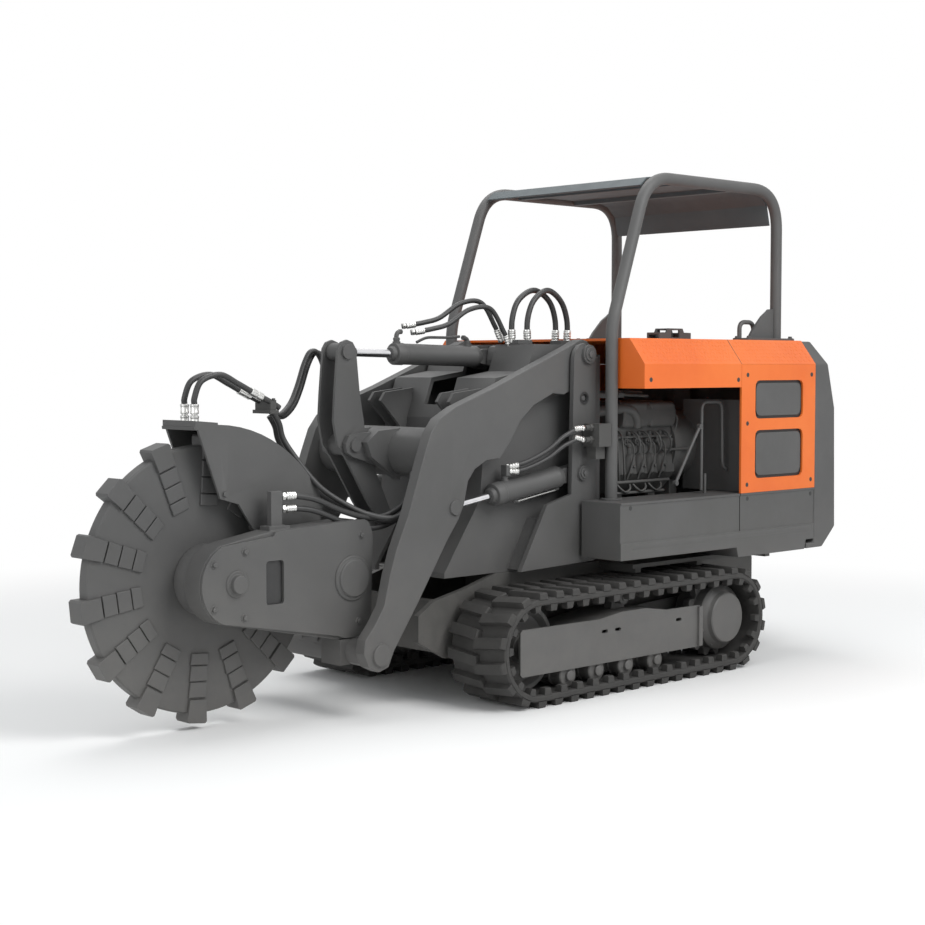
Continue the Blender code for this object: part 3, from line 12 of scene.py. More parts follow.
import bmesh
import bpy
import numpy as np
from mathutils import Euler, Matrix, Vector


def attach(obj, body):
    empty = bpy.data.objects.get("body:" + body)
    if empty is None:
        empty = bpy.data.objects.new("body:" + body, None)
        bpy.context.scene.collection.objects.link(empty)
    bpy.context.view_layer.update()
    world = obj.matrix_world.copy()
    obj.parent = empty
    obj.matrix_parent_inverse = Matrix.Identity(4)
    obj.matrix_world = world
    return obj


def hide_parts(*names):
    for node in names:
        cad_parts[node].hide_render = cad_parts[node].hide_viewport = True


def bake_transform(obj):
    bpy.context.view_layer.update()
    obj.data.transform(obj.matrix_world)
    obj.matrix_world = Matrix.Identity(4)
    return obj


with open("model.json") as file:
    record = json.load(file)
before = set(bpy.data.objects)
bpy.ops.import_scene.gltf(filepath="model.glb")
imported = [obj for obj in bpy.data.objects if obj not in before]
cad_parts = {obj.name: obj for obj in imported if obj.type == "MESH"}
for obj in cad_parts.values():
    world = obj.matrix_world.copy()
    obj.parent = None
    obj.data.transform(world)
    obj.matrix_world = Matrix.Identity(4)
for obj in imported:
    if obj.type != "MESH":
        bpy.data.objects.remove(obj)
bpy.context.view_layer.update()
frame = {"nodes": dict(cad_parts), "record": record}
NODE_BODY = {}
for body_name, names in frame["record"]["behaviour"]["bodies"].items():
    for node_name in names:
        NODE_BODY[node_name] = body_name

# %% [markdown]
# ## Camera
# The camera stands ahead of the machine on its left, at a person's eye height, and looks a few
# degrees down.  Its lens is a short telephoto, so the far track is hardly smaller than the near
# one.  The machine's own zero is the middle of its box, 0.54 m ahead of the middle of the tracks.

# %% Camera
SHIFT = 0.539922          # from the middle of the tracks to the middle of the whole machine
camera_data = bpy.data.cameras.new("camera")
camera_data.lens = 67.2
camera_data.sensor_width = 36.0
camera = bpy.data.objects.new("camera", camera_data)
camera.location = (6.06, -6.33 + SHIFT, 1.55)
camera.rotation_euler = Euler((math.radians(90 - 3.23), 0.0, math.radians(46.1)))
bpy.context.scene.collection.objects.link(camera)
bpy.context.scene.camera = camera
print("camera at", tuple(round(v, 2) for v in camera.location))

# %% [markdown]
# ## Colours and nodes
# Colours are written as the sRGB values that a paint chart gives, and one function turns them
# to the linear values that shaders use.  One small function adds any node with its settings and
# its links, so each material below reads as a list of what it is made of.

# %% Colour and node helpers
def linear(code):
    """sRGB hex to linear: v / 12.92 in the darkest part, else ((v + 0.055) / 1.055) ^ 2.4."""
    parts = np.array([int(code[i:i + 2], 16) for i in (1, 3, 5)]) / 255
    parts = np.where(parts <= 0.04045, parts / 12.92, ((parts + 0.055) / 1.055) ** 2.4)
    return (*[float(p) for p in parts], 1.0)


def add(tree, kind, links=None, **settings):
    """Adds a node; settings name its properties or, with i_ before the name, its inputs."""
    node = tree.nodes.new(kind)
    for key, value in settings.items():
        if key.startswith("i_"):
            node.inputs[key[2:].replace("_", " ")].default_value = value
        else:
            setattr(node, key, value)
    for socket, source in (links or {}).items():
        tree.links.new(source, node.inputs[socket])
    return node


def new_material(name, metallic, roughness):
    """A material whose tree holds only its Principled shader; constants sit on the shader."""
    material = bpy.data.materials.new(name)
    material.use_nodes = True
    tree = material.node_tree
    shader = tree.nodes["Principled BSDF"]
    shader.inputs["Metallic"].default_value = metallic
    shader.inputs["Roughness"].default_value = roughness
    return material, tree, shader


def ramp(tree, source, stops):
    """A colour ramp from (position, colour) stops."""
    node = add(tree, "ShaderNodeValToRGB", {"Fac": source})
    while len(node.color_ramp.elements) < len(stops):
        node.color_ramp.elements.new(0.5)
    for element, (position, colour) in zip(node.color_ramp.elements, stops):
        element.position = position
        element.color = colour
    return node


def add_grain(tree, shader, where, size_mm, height_mm, strength, detail):
    """Fine noise of a real size drives a bump of a real height, both in millimetres."""
    noise = add(tree, "ShaderNodeTexNoise", {"Vector": where}, i_Scale=1000.0 / size_mm / 2,
                i_Detail=detail)
    bump = add(tree, "ShaderNodeBump", {"Height": noise.outputs["Fac"]}, i_Strength=strength,
               i_Distance=height_mm / 1000)
    tree.links.new(bump.outputs["Normal"], shader.inputs["Normal"])


def add_shine(tree, shader, source, low, high):
    """Roughness goes from low to high as a noise goes from 0.3 to 0.7."""
    span = add(tree, "ShaderNodeMapRange", {"Value": source}, i_From_Min=0.3, i_From_Max=0.7,
               i_To_Min=low, i_To_Max=high)
    tree.links.new(span.outputs["Result"], shader.inputs["Roughness"])


print("orange in linear light:", linear("#E06D26"))

# %% [markdown]
# ## Powder-coated and sprayed steel
# The grey frame is powder coated: the powder melts into a matte skin with a fine pebble grain,
# about a millimetre wide.  The orange panels are wet sprayed and flow smoother, with a low
# ripple called orange peel.  Both carry a broad, weak change of tone from dust and handling, and
# a paler rub near the ground.  Noise of three sizes on Object coordinates makes these.

# %% Painted steel
def painted_steel(name, base, light, dark, roughness, grain_mm, grain_height, dust):
    """Paint: broad tone from large noise, grain from noise of grain_mm, dust that fades upwards."""
    material, tree, shader = new_material(name, 0.0, roughness)
    where = add(tree, "ShaderNodeTexCoord").outputs["Object"]
    broad = add(tree, "ShaderNodeTexNoise", {"Vector": where}, i_Scale=1.7, i_Detail=5.0,
                i_Roughness=0.6)
    tone = ramp(tree, broad.outputs["Fac"], [(0.30, linear(dark)), (0.52, linear(base)),
                                             (0.74, linear(light))])
    height = add(tree, "ShaderNodeSeparateXYZ", {"Vector": where})
    low = add(tree, "ShaderNodeMapRange", {"Value": height.outputs["Z"]}, i_From_Min=0.0,
              i_From_Max=0.9, i_To_Min=dust, i_To_Max=dust * 0.12)
    specks = add(tree, "ShaderNodeTexNoise", {"Vector": where}, i_Scale=14.0, i_Detail=8.0,
                 i_Roughness=0.75)
    amount = add(tree, "ShaderNodeMath", {0: low.outputs["Result"], 1: specks.outputs["Fac"]},
                 operation="MULTIPLY")
    mixed = add(tree, "ShaderNodeMix", {"Factor": amount.outputs["Value"],
                                        6: tone.outputs["Color"]}, data_type="RGBA")
    mixed.inputs[7].default_value = linear("#8C8780")
    tree.links.new(mixed.outputs[2], shader.inputs["Base Color"])
    add_shine(tree, shader, specks.outputs["Fac"], roughness - 0.06, roughness + 0.08)
    add_grain(tree, shader, where, grain_mm, grain_height, 0.35, 2.0)
    return material


powder_grey = painted_steel("powder_coated_grey", "#4E4E4E", "#555554", "#484847", 0.56, 2.4,
                            0.20, 0.35)
powder_dark = painted_steel("powder_coated_dark", "#424241", "#494948", "#3B3B3A", 0.60, 2.4,
                            0.20, 0.45)
sprayed_orange = painted_steel("sprayed_orange", "#E06D26", "#E3742E", "#D8631F", 0.40, 5.0,
                               0.10, 0.10)
# The roof paint's cool blue tint is partly the paint itself and partly painted sky light on the
# roof.
roof_grey_with_painted_sky_tint = painted_steel("powder_coated_roof_grey_with_painted_sky_tint", "#4A5255", "#51595C", "#444B4E", 0.60, 2.4,
                            0.20, 0.20)
cast_grey = painted_steel("painted_casting", "#525251", "#5E5E5D", "#434342", 0.62, 3.5, 0.50,
                          0.25)
print("paints made:", powder_grey.name, powder_dark.name, sprayed_orange.name, roof_grey_with_painted_sky_tint.name,
      cast_grey.name)

# %% [markdown]
# ## Rubber, chrome, zinc and bare steel
# Track rubber is vulcanised in a steel mould: dull, near black, with pale dust on its high
# faces.  Hose rubber is smoother, with the fine wrap marks of the cloth it was cured in.  Piston
# rods are hard chrome, ground so finely that only faint rings show.  Hose ends are zinc plated,
# which is a bright but soft grey metal.

# %% Rubber
def moulded_rubber(name, base, dusty, roughness, mark_mm, mark_height, dust):
    """Rubber: two tones of noise for dust, and a fine bump for the mould's or wrap's marks."""
    material, tree, shader = new_material(name, 0.0, roughness)
    where = add(tree, "ShaderNodeTexCoord").outputs["Object"]
    cloud = add(tree, "ShaderNodeTexNoise", {"Vector": where}, i_Scale=9.0, i_Detail=9.0,
                i_Roughness=0.7)
    tone = ramp(tree, cloud.outputs["Fac"], [(0.35, linear(base)), (0.75, linear(dusty))])
    tree.links.new(tone.outputs["Color"], shader.inputs["Base Color"])
    add_grain(tree, shader, where, mark_mm, mark_height, 0.4, 3.0)
    add_shine(tree, shader, cloud.outputs["Fac"], roughness - dust, roughness + dust)
    return material


track_rubber = moulded_rubber("moulded_track_rubber", "#2E2D2C", "#403F3D", 0.72, 4.0, 0.8, 0.10)
hose_rubber = moulded_rubber("wrapped_hose_rubber", "#2B2B2B", "#363636", 0.46, 1.5, 0.15, 0.06)
grille_plastic = moulded_rubber("moulded_grille_plastic", "#505050", "#5A5A59", 0.58, 3.0, 0.2,
                                0.05)


# %% Metals
def bare_metal(name, base, stain, roughness, ring_mm, ring_height, stain_scale):
    """Metal: a stained tone from noise and the rings or lines that a tool left as bump."""
    material, tree, shader = new_material(name, 1.0, roughness)
    where = add(tree, "ShaderNodeTexCoord").outputs["Object"]
    cloud = add(tree, "ShaderNodeTexNoise", {"Vector": where}, i_Scale=stain_scale, i_Detail=6.0)
    tone = ramp(tree, cloud.outputs["Fac"], [(0.40, linear(base)), (0.75, linear(stain))])
    tree.links.new(tone.outputs["Color"], shader.inputs["Base Color"])
    add_grain(tree, shader, where, ring_mm, ring_height, 0.3, 2.0)
    add_shine(tree, shader, cloud.outputs["Fac"], roughness * 0.8, roughness * 1.3)
    return material


hard_chrome = bare_metal("hard_chrome", "#E2E2E4", "#D2D2D6", 0.12, 1.0, 0.01, 20.0)
zinc_plate = bare_metal("zinc_plated_steel", "#D6D6D4", "#B9B9B6", 0.28, 1.2, 0.03, 60.0)
print("rubbers and metals made")

# %% [markdown]
# ## Floor and light
# A studio sweep: a pale floor and a white surround.  The camera, mirrors and glass see the white
# surround at full strength, while the machine is lit by a softer sky and three large lamps, so
# the surround looks white without washing out the paint.

# %% World
scene = bpy.context.scene
scene.view_settings.view_transform = "Standard"
world = bpy.data.worlds.new("studio")
scene.world = world
world.use_nodes = True
sky = world.node_tree
sky.nodes.clear()
path = add(sky, "ShaderNodeLightPath")
clear = add(sky, "ShaderNodeMath", {0: path.outputs["Is Camera Ray"],
                                    1: path.outputs["Is Transmission Ray"]}, operation="MAXIMUM")
seen = add(sky, "ShaderNodeMath", {0: clear.outputs["Value"],
                                   1: path.outputs["Is Glossy Ray"]}, operation="MAXIMUM")
ambient = add(sky, "ShaderNodeBackground", i_Color=(0.94, 0.97, 1.0, 1.0), i_Strength=0.50)
white = add(sky, "ShaderNodeBackground", i_Color=(1.0, 1.0, 1.0, 1.0), i_Strength=1.0)
both = add(sky, "ShaderNodeMixShader", {0: seen.outputs["Value"],
                                        1: ambient.outputs["Background"],
                                        2: white.outputs["Background"]})
add(sky, "ShaderNodeOutputWorld", {"Surface": both.outputs["Shader"]})
print("world set")


# %% Floor
def surface(name, vertices, faces, material, smooth=True):
    """A mesh object from whole arrays of vertices and faces."""
    mesh = bpy.data.meshes.new(name)
    mesh.from_pydata(np.asarray(vertices, float).tolist(), [], [list(map(int, f)) for f in faces])
    mesh.polygons.foreach_set("use_smooth", np.full(len(mesh.polygons), smooth))
    mesh.update()
    ob = bpy.data.objects.new(name, mesh)
    scene.collection.objects.link(ob)
    mesh.materials.append(material)
    return ob


floor_finish, floor_tree, floor_shader = new_material("studio_floor", 0.0, 0.85)
floor_shader.inputs["Base Color"].default_value = linear("#F4F4F3")
floor_path = add(floor_tree, "ShaderNodeLightPath")
floor_where = add(floor_tree, "ShaderNodeTexCoord").outputs["Object"]
reach = add(floor_tree, "ShaderNodeVectorMath", {0: floor_where}, operation="LENGTH")
fade = add(floor_tree, "ShaderNodeMapRange", {"Value": reach.outputs["Value"]}, i_From_Min=2.6,
           i_From_Max=6.0, interpolation_type="SMOOTHSTEP")
glow = add(floor_tree, "ShaderNodeEmission", i_Color=(1.0, 1.0, 1.0, 1.0), i_Strength=1.0)
floor_seen = add(floor_tree, "ShaderNodeMath", {0: floor_path.outputs["Is Camera Ray"],
                                                1: fade.outputs["Result"]}, operation="MULTIPLY")
floor_mix = add(floor_tree, "ShaderNodeMixShader", {0: floor_seen.outputs["Value"],
                                                    1: floor_shader.outputs["BSDF"],
                                                    2: glow.outputs["Emission"]})
floor_out = floor_tree.nodes["Material Output"]
floor_tree.links.new(floor_mix.outputs["Shader"], floor_out.inputs["Surface"])
floor = surface("floor", [(-40, -40, 0), (40, -40, 0), (40, 40, 0), (-40, 40, 0)], [(0, 1, 2, 3)],
                floor_finish, False)
print("floor laid")


# %% Lamps
def lamp(name, place, aim, size, watts):
    """A square area lamp that looks at a point."""
    data = bpy.data.lights.new(name, "AREA")
    data.size = size
    data.energy = watts
    ob = bpy.data.objects.new(name, data)
    ob.location = place
    ob.rotation_euler = (Vector(aim) - Vector(place)).to_track_quat("-Z", "Y").to_euler()
    scene.collection.objects.link(ob)


lamp("key", (5.5, 0.5, 5.5), (0, 0.2, 1.0), 4.0, 320)
lamp("front", (1.0, -8.0, 3.5), (0, -0.5, 0.9), 4.5, 120)
lamp("top", (-1.5, 1.0, 7.0), (0, 0.3, 1.2), 5.0, 200)
print("three lamps set")

# %% [markdown]
# ## How new surfaces are made
# Every new piece is a grid of points worked out with numpy: a turned piece is a profile carried
# round an axis, a hose is a circle carried along a path, and a plate is an outline carried
# between two levels.  A profile is a list of (way along the axis, radius) pairs.  Pieces that
# belong together are joined into one mesh, its doubles are merged and its faces are turned
# outwards before it is given a small rounded edge.

# %% Grids, turned parts and tubes
def grid(points, close_u=False, close_v=False):
    """Quads between neighbouring points of a (rows, columns, 3) grid; either way may close."""
    rows, columns = points.shape[:2]
    u, v = np.meshgrid(np.arange(rows if close_u else rows - 1),
                       np.arange(columns if close_v else columns - 1), indexing="ij")
    u, v = u.ravel(), v.ravel()
    u2, v2 = (u + 1) % rows, (v + 1) % columns
    quads = np.stack([u * columns + v, u2 * columns + v, u2 * columns + v2, u * columns + v2], 1)
    return points.reshape(-1, 3), [tuple(q) for q in quads.tolist()]


def across(axis):
    """Two unit vectors square to an axis."""
    axis = np.asarray(axis, float) / np.linalg.norm(axis)
    first = np.cross(axis, (0.0, 0.0, 1.0) if abs(axis[2]) < 0.9 else (0.0, 1.0, 0.0))
    first /= np.linalg.norm(first)
    return axis, first, np.cross(axis, first)


def turned(profile, centre, axis=(1, 0, 0), steps=48):
    """Centre + along * axis + radius * (cos t, sin t) across it, for t round the circle."""
    axis, first, second = across(axis)
    profile = np.asarray(profile, float)
    t = np.linspace(0, 2 * np.pi, steps, endpoint=False)
    ring = np.cos(t)[:, None] * first + np.sin(t)[:, None] * second
    points = (np.asarray(centre, float) + profile[None, :, :1] * axis
              + profile[None, :, 1:] * ring[:, None, :])
    return grid(points, close_u=True)


def smooth_path(points, spacing=0.008):
    """A cubic through every point, whose slope there is half the way between its neighbours."""
    p = np.asarray(points, float)
    before = np.vstack([p[:1], p[:-1]])
    after = np.vstack([p[1:], p[-1:]])
    slope = (after - before) / 2
    runs = np.linalg.norm(np.diff(p, axis=0), axis=1)
    counts = np.maximum(np.round(runs / spacing).astype(int), 2)
    k = np.repeat(np.arange(len(runs)), counts)
    start = np.cumsum(counts) - counts
    t = ((np.arange(len(k)) - start[k]) / counts[k])[:, None]
    fine = ((2 * t ** 3 - 3 * t ** 2 + 1) * p[k] + (t ** 3 - 2 * t ** 2 + t) * slope[k]
            + (3 * t ** 2 - 2 * t ** 3) * p[k + 1] + (t ** 3 - t ** 2) * slope[k + 1])
    return np.vstack([fine, p[-1:]])


def swept(path, radius, sides=16):
    """A circle carried along a path and kept square to it, with a closed pole at each end."""
    path = np.asarray(path, float)
    tangent = np.gradient(path, axis=0)
    tangent /= np.linalg.norm(tangent, axis=1)[:, None]
    first = np.array((1.0, 0.0, 0.0)) - tangent[:, :1] * tangent
    first /= np.linalg.norm(first, axis=1)[:, None]
    second = np.cross(tangent, first)
    t = np.linspace(0, 2 * np.pi, sides, endpoint=False)[None, :, None]
    rings = path[:, None] + radius * (np.cos(t) * first[:, None] + np.sin(t) * second[:, None])
    poles = [np.repeat(path[[i]], sides, 0)[None] for i in (0, -1)]
    return grid(np.concatenate([poles[0], rings, poles[1]]), close_v=True)


def tube(points, radius, sides=12, spacing=0.006):
    """A pipe or a hose that runs smoothly through chosen points."""
    return swept(smooth_path(points, spacing), radius, sides)


def bent(corners, reaches, steps):
    """A route whose corners are quadratic curves, each with its own reach."""
    p = np.asarray(corners, float)
    t = np.linspace(0, 1, steps)[:, None]
    rows = [p[:1]]
    for a, b, c, reach in zip(p, p[1:], p[2:], np.broadcast_to(reaches, len(p) - 2)):
        ways = [(a - b, np.linalg.norm(a - b)), (c - b, np.linalg.norm(c - b))]
        start, end = [b + way / size * min(reach, size * 0.49) for way, size in ways]
        rows.append(start * (1 - t) ** 2 + b * 2 * t * (1 - t) + end * t ** 2)
    rows.append(p[-1:])
    return np.vstack(rows)


def pipe(corners, radius, reach=0.03, sides=14):
    """A bent steel pipe: straight runs with a curve of the same reach at each corner."""
    return swept(bent(corners, reach, 9), radius, sides)


print("turned parts and tubes ready")

# %% Plates, blocks and bolts
def plate(outline, lo, hi, axis="x"):
    """An outline carried from one level to another, closed by its own two faces."""
    outline = np.asarray(outline, float)
    order = {"x": (2, 0, 1), "y": (0, 2, 1), "z": (0, 1, 2)}[axis]
    levels = [np.column_stack([outline, np.full(len(outline), z)])[:, order] for z in (lo, hi)]
    vertices, faces = grid(np.stack(levels), close_v=True)
    n = len(outline)
    return vertices, faces + [tuple(range(n)), tuple(range(n, 2 * n))]


def block(x, y, z):
    """A plate with a rectangle for its outline; each argument is a (low, high) pair."""
    return plate([(y[0], z[0]), (y[1], z[0]), (y[1], z[1]), (y[0], z[1])], x[0], x[1])


def arc(centre, radius, start, end, steps=12):
    """Points on an arc, angles in degrees."""
    t = np.radians(np.linspace(start, end, steps + 1))
    return np.column_stack([centre[0] + radius * np.cos(t), centre[1] + radius * np.sin(t)])


def strap(p0, p1, r0, r1, steps=14):
    """The outline of a belt laid round two circles."""
    a = math.degrees(math.atan2(p1[1] - p0[1], p1[0] - p0[0]))
    return np.vstack([arc(p0, r0, a + 90, a + 270, steps), arc(p1, r1, a - 90, a + 90, steps)])


def moved(part, matrix, shift):
    """The same part turned by a 3 x 3 matrix and then shifted."""
    return np.asarray(part[0], float) @ matrix.T + shift, part[1]


def mirrored(part):
    """The same part on the other side of the machine."""
    return np.asarray(part[0], float) * (-1, 1, 1), part[1]


def hexagon(at, direction, across_flats, height, washer=0.0):
    """A bolt head: a six-sided prism with a domed top, on a washer when one is given."""
    r = across_flats / 2 / math.cos(math.pi / 6)
    at, direction = np.asarray(at, float), np.asarray(direction, float)
    direction = direction / np.linalg.norm(direction)
    head = turned([(0, 0), (0, r), (height * 0.82, r), (height, r * 0.80), (height, 0)],
                  at + direction * washer, direction, 6)
    if not washer:
        return [head]
    return [turned([(0, 0), (0, r * 1.25), (washer, r * 1.22), (washer, 0)], at, direction, 16),
            head]


def bolt_circle(centre, axis, radius, count, across_flats, height, first=0.0):
    """Bolt heads spread evenly on a circle about X or Y; `first` is a share of their pitch."""
    heads = []
    for k in range(count):
        a = 2 * math.pi * (k + first) / count
        near, up = radius * math.cos(a), radius * math.sin(a)
        step = (0.0, near, up) if axis[0] else (near, 0.0, up)
        heads += hexagon(np.add(centre, step), axis, across_flats, height)
    return heads


def joined(parts):
    """One list of vertices and faces from many."""
    start = np.cumsum([0] + [len(v) for v, f in parts])
    faces = [tuple(i + s for i in face) for (v, f), s in zip(parts, start) for face in f]
    return np.vstack([v for v, f in parts]), faces


print("plates and bolts ready")

# %% Pieces
ANGLE = math.radians(32)      # edges sharper than this stay sharp and are rounded off


def settle(ob, body, replaces=(), edge=0.0, segments=2):
    """Merges doubles, turns faces out, marks sharp edges, rounds them, and parents a piece with one
    named body to that body.
    """
    mesh = bmesh.new()
    mesh.from_mesh(ob.data)
    bmesh.ops.remove_doubles(mesh, verts=mesh.verts, dist=2e-6)
    bmesh.ops.dissolve_degenerate(mesh, edges=mesh.edges, dist=1e-6)
    bmesh.ops.recalc_face_normals(mesh, faces=mesh.faces)
    mesh.to_mesh(ob.data)
    mesh.free()
    ob.data.shade_smooth()
    ob.data.set_sharp_from_angle(angle=ANGLE)
    if edge:
        rounding = ob.modifiers.new("rounded edges", "BEVEL")
        rounding.width = edge
        rounding.segments = segments
        rounding.limit_method = "ANGLE"
        rounding.angle_limit = ANGLE
        rounding.harden_normals = True
        rounding.use_clamp_overlap = True
    if isinstance(body, str):
        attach(ob, body)
    else:
        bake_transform(ob)
    if replaces:
        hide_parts(*replaces)
    return ob


def piece(name, parts, material, body, replaces=(), edge=0.0, segments=2):
    """A new piece from a list of parts given in the frame of the tracks."""
    vertices, faces = joined(parts)
    ob = surface(name, vertices + np.array((0.0, SHIFT, 0.0)), faces, material)
    return settle(ob, body, replaces, edge, segments)


print("pieces ready: every edge past", round(math.degrees(ANGLE)), "degrees stays sharp")

# %% [markdown]
# ## Welded plates
# Flame-cut plates and folded sheets have softly rounded edges once they are ground and painted,
# and those edges catch the light.  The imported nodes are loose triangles, so each plate is copied,
# its doubles are merged, its flat triangles are joined to whole faces, and a Bevel modifier
# rounds every edge sharper than 32 degrees.

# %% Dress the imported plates
PAINTED = {
    "tower": (powder_grey, "grey_paint", 0.0025),
    "chassis": (powder_dark, "dark_frame_paint", 0.003),
    "counterweight": (powder_grey, "grey_paint", 0.008),
    "side_box_left": (powder_grey, "grey_paint", 0.004),
    "side_box_right": (powder_grey, "grey_paint", 0.004),
    "hood": (sprayed_orange, "orange_paint", 0.004),
    "rear_panel_left": (sprayed_orange, "orange_paint", 0.003),
    "rear_panel_right": (sprayed_orange, "orange_paint", 0.003),
    "engine_block": (cast_grey, "cast_engine_grey", 0.006),
    "flywheel_housing": (cast_grey, "cast_engine_grey", 0.004),
    "radiator": (powder_dark, "dark_frame_paint", 0.003),
    "cooling_fan": (grille_plastic, "grille_plastic", 0.002),
    "manifold_block": (powder_dark, "dark_frame_paint", 0.002),
    "canopy_roof": (roof_grey_with_painted_sky_tint, "dark_frame_paint", 0.003),
    "lift_arm_left": (powder_grey, "grey_paint", 0.005),
    "lift_arm_right": (powder_grey, "grey_paint", 0.005),
    "cross_tube": (powder_grey, "grey_paint", 0.003),
    "bell_crank": (powder_grey, "grey_paint", 0.003),
    "tilt_link": (powder_grey, "grey_paint", 0.003),
    "head_frame": (powder_grey, "grey_paint", 0.003),
    "drive_case": (powder_grey, "grey_paint", 0.003),
    "wheel_guard": (powder_grey, "grey_paint", 0.003),
    "track_frame_left": (powder_grey, "dark_frame_paint", 0.003),
    "track_frame_right": (powder_grey, "dark_frame_paint", 0.003),
}


SIDE_SHEETS = {"hood", "rear_panel_left", "rear_panel_right", "side_box_left", "side_box_right"}
SHEET_SHRINK = 0.9990         # draws the side sheets in a little, so that bolt heads stand out
HOOD_TOP = 1.68


def dressed(node, material, edge):
    """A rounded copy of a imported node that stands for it."""
    ob = bpy.data.objects.new(node + "_skin", frame["nodes"][node].data.copy())
    scene.collection.objects.link(ob)
    mesh = bmesh.new()
    mesh.from_mesh(ob.data)
    bmesh.ops.remove_doubles(mesh, verts=mesh.verts, dist=2e-6)
    bmesh.ops.dissolve_limit(mesh, angle_limit=math.radians(0.6), verts=mesh.verts,
                             edges=mesh.edges)
    if node in SIDE_SHEETS:
        bmesh.ops.scale(mesh, vec=(SHEET_SHRINK, 1.0, 1.0), verts=mesh.verts)
    if node == "hood":
        raised = [v for v in mesh.verts if v.co.z > HOOD_TOP + 0.001]
        bmesh.ops.delete(mesh, geom=raised, context="VERTS")
        bmesh.ops.holes_fill(mesh, edges=[e for e in mesh.edges if e.is_boundary])
    mesh.to_mesh(ob.data)
    mesh.free()
    ob.data.materials.clear()
    ob.data.materials.append(material)
    return settle(ob, NODE_BODY[node], (node,), edge)


for node_name, (paint, slot_name, edge_width) in PAINTED.items():
    dressed(node_name, paint, edge_width)
print(len(PAINTED), "plates dressed")

# %% [markdown]
# ## Rubber tracks
# A rubber track is one endless moulding with steel cords inside.  Its outside carries lugs in two
# rows, half a pitch apart and slanted, so that one of them always grips; its inside carries
# guide blocks at both edges, which keep the rollers in their lane.  A map from (way along the
# belt, across, height) to space bends every lug round the wheels.

# %% Belt map
HALF_WIDTH = 0.74
BELT_WIDTH = 0.35
IDLER_Y, SPROCKET_Y, AXLE_Z = -0.713, 0.718, 0.262
LUG_HEIGHT = 0.028
BELT_FACE = AXLE_Z - LUG_HEIGHT
BELT_BORE = BELT_FACE - 0.030
TRACK_MID = HALF_WIDTH - BELT_WIDTH / 2
RUN = SPROCKET_Y - IDLER_Y
BELT_LENGTH = 2 * (RUN + math.pi * BELT_FACE)
PITCHES = 40
PITCH = BELT_LENGTH / PITCHES


def on_belt(way, across_x, radius):
    """Two straights and two half circles: the way is spent on them in turn, at any radius."""
    way = np.mod(way, BELT_LENGTH)
    bend = math.pi * BELT_FACE
    low = way < RUN
    rear = (way >= RUN) & (way < RUN + bend)
    high = (way >= RUN + bend) & (way < 2 * RUN + bend)
    rear_turn = (way - RUN) / BELT_FACE - np.pi / 2
    front_turn = (way - 2 * RUN - bend) / BELT_FACE + np.pi / 2
    y = np.select([low, rear, high], [IDLER_Y + way, SPROCKET_Y + radius * np.cos(rear_turn),
                                      SPROCKET_Y - (way - RUN - bend)],
                  IDLER_Y + radius * np.cos(front_turn))
    z = np.select([low, rear, high], [AXLE_Z - radius, AXLE_Z + radius * np.sin(rear_turn),
                                      AXLE_Z + radius + way * 0],
                  AXLE_Z + radius * np.sin(front_turn))
    return np.stack([across_x + way * 0, y, z], -1)


def lug(start, length, x0, x1, foot, top, slant, steps=5, chamfer=0.006):
    """A block on the belt: a chamfered section carried along the belt, leaning by the slant."""
    c = chamfer if top > foot else -chamfer
    s = chamfer
    section = np.array([(x0, foot), (x0 + s * 0.4, top - c), (x0 + s * 1.2, top),
                        (x1 - s * 1.2, top), (x1 - s * 0.4, top - c), (x1, foot)])
    lean = (section[:, 0] - x0) * slant
    rise = (section[:, 1] - foot) / (top - foot)
    t = np.linspace(0, 1, steps)[:, None]
    way = start + lean + s * 0.9 * rise * (1 - 2 * t) + length * t
    points = on_belt(way, section[None, :, 0], section[None, :, 1])
    vertices, faces = grid(points, close_v=True)
    n, last = len(section), (steps - 1) * len(section)
    return vertices, faces + [tuple(range(n)), tuple(range(last, last + n))]


def belt_parts():
    """The carcass, which is a rounded section all round, then two rows of lugs and of guides."""
    x0, x1 = HALF_WIDTH - BELT_WIDTH, HALF_WIDTH
    r = 0.007
    section = [(x0, BELT_BORE + r), (x0 + r, BELT_BORE), (x1 - r, BELT_BORE), (x1, BELT_BORE + r),
               (x1, BELT_FACE - r), (x1 - r, BELT_FACE), (x0 + r, BELT_FACE), (x0, BELT_FACE - r)]
    section = np.array(section)
    way = np.linspace(0, BELT_LENGTH, 5 * PITCHES, endpoint=False)[:, None]
    parts = [grid(on_belt(way, section[None, :, 0], section[None, :, 1]), True, True)]
    foot = BELT_FACE - 0.002
    middle = (x0 + x1) / 2
    long = PITCH * 0.50
    for k in range(PITCHES):
        start = k * PITCH
        parts.append(lug(start, long, middle - 0.012, x1, foot, AXLE_Z, -0.10))
        parts.append(lug(start + PITCH * 0.5, long, x0, middle + 0.012, foot, AXLE_Z, 0.10))
        parts.append(lug(start + PITCH * 0.22, PITCH * 0.42, x1 - 0.043, x1 - 0.003,
                         BELT_BORE + 0.002, BELT_BORE - 0.030, 0.0, 3, 0.005))
        parts.append(lug(start + PITCH * 0.22, PITCH * 0.42, x0 + 0.003, x0 + 0.050,
                         BELT_BORE + 0.002, BELT_BORE - 0.030, 0.0, 3, 0.005))
    return parts


def both_sides(name, parts, material, body, replaces, edge=0.0, segments=2):
    """The same piece on the left and, mirrored, on the right."""
    piece(name + "_left", parts, material, body.format("left"),
          [n + "_left" for n in replaces], edge, segments)
    piece(name + "_right", [mirrored(p) for p in parts], material, body.format("right"),
          [n + "_right" for n in replaces], edge, segments)


both_sides("track_rubber", belt_parts(), track_rubber, "carrier", ["track_belt"])
print(PITCHES, "pitches of", round(PITCH * 1000, 1), "mm on each track")

# %% [markdown]
# ## Wheels and rollers
# Idlers, drive drums and rollers are steel castings finished on a lathe, so each one is a turned
# profile; the drive sprocket's teeth are cut into its rim.

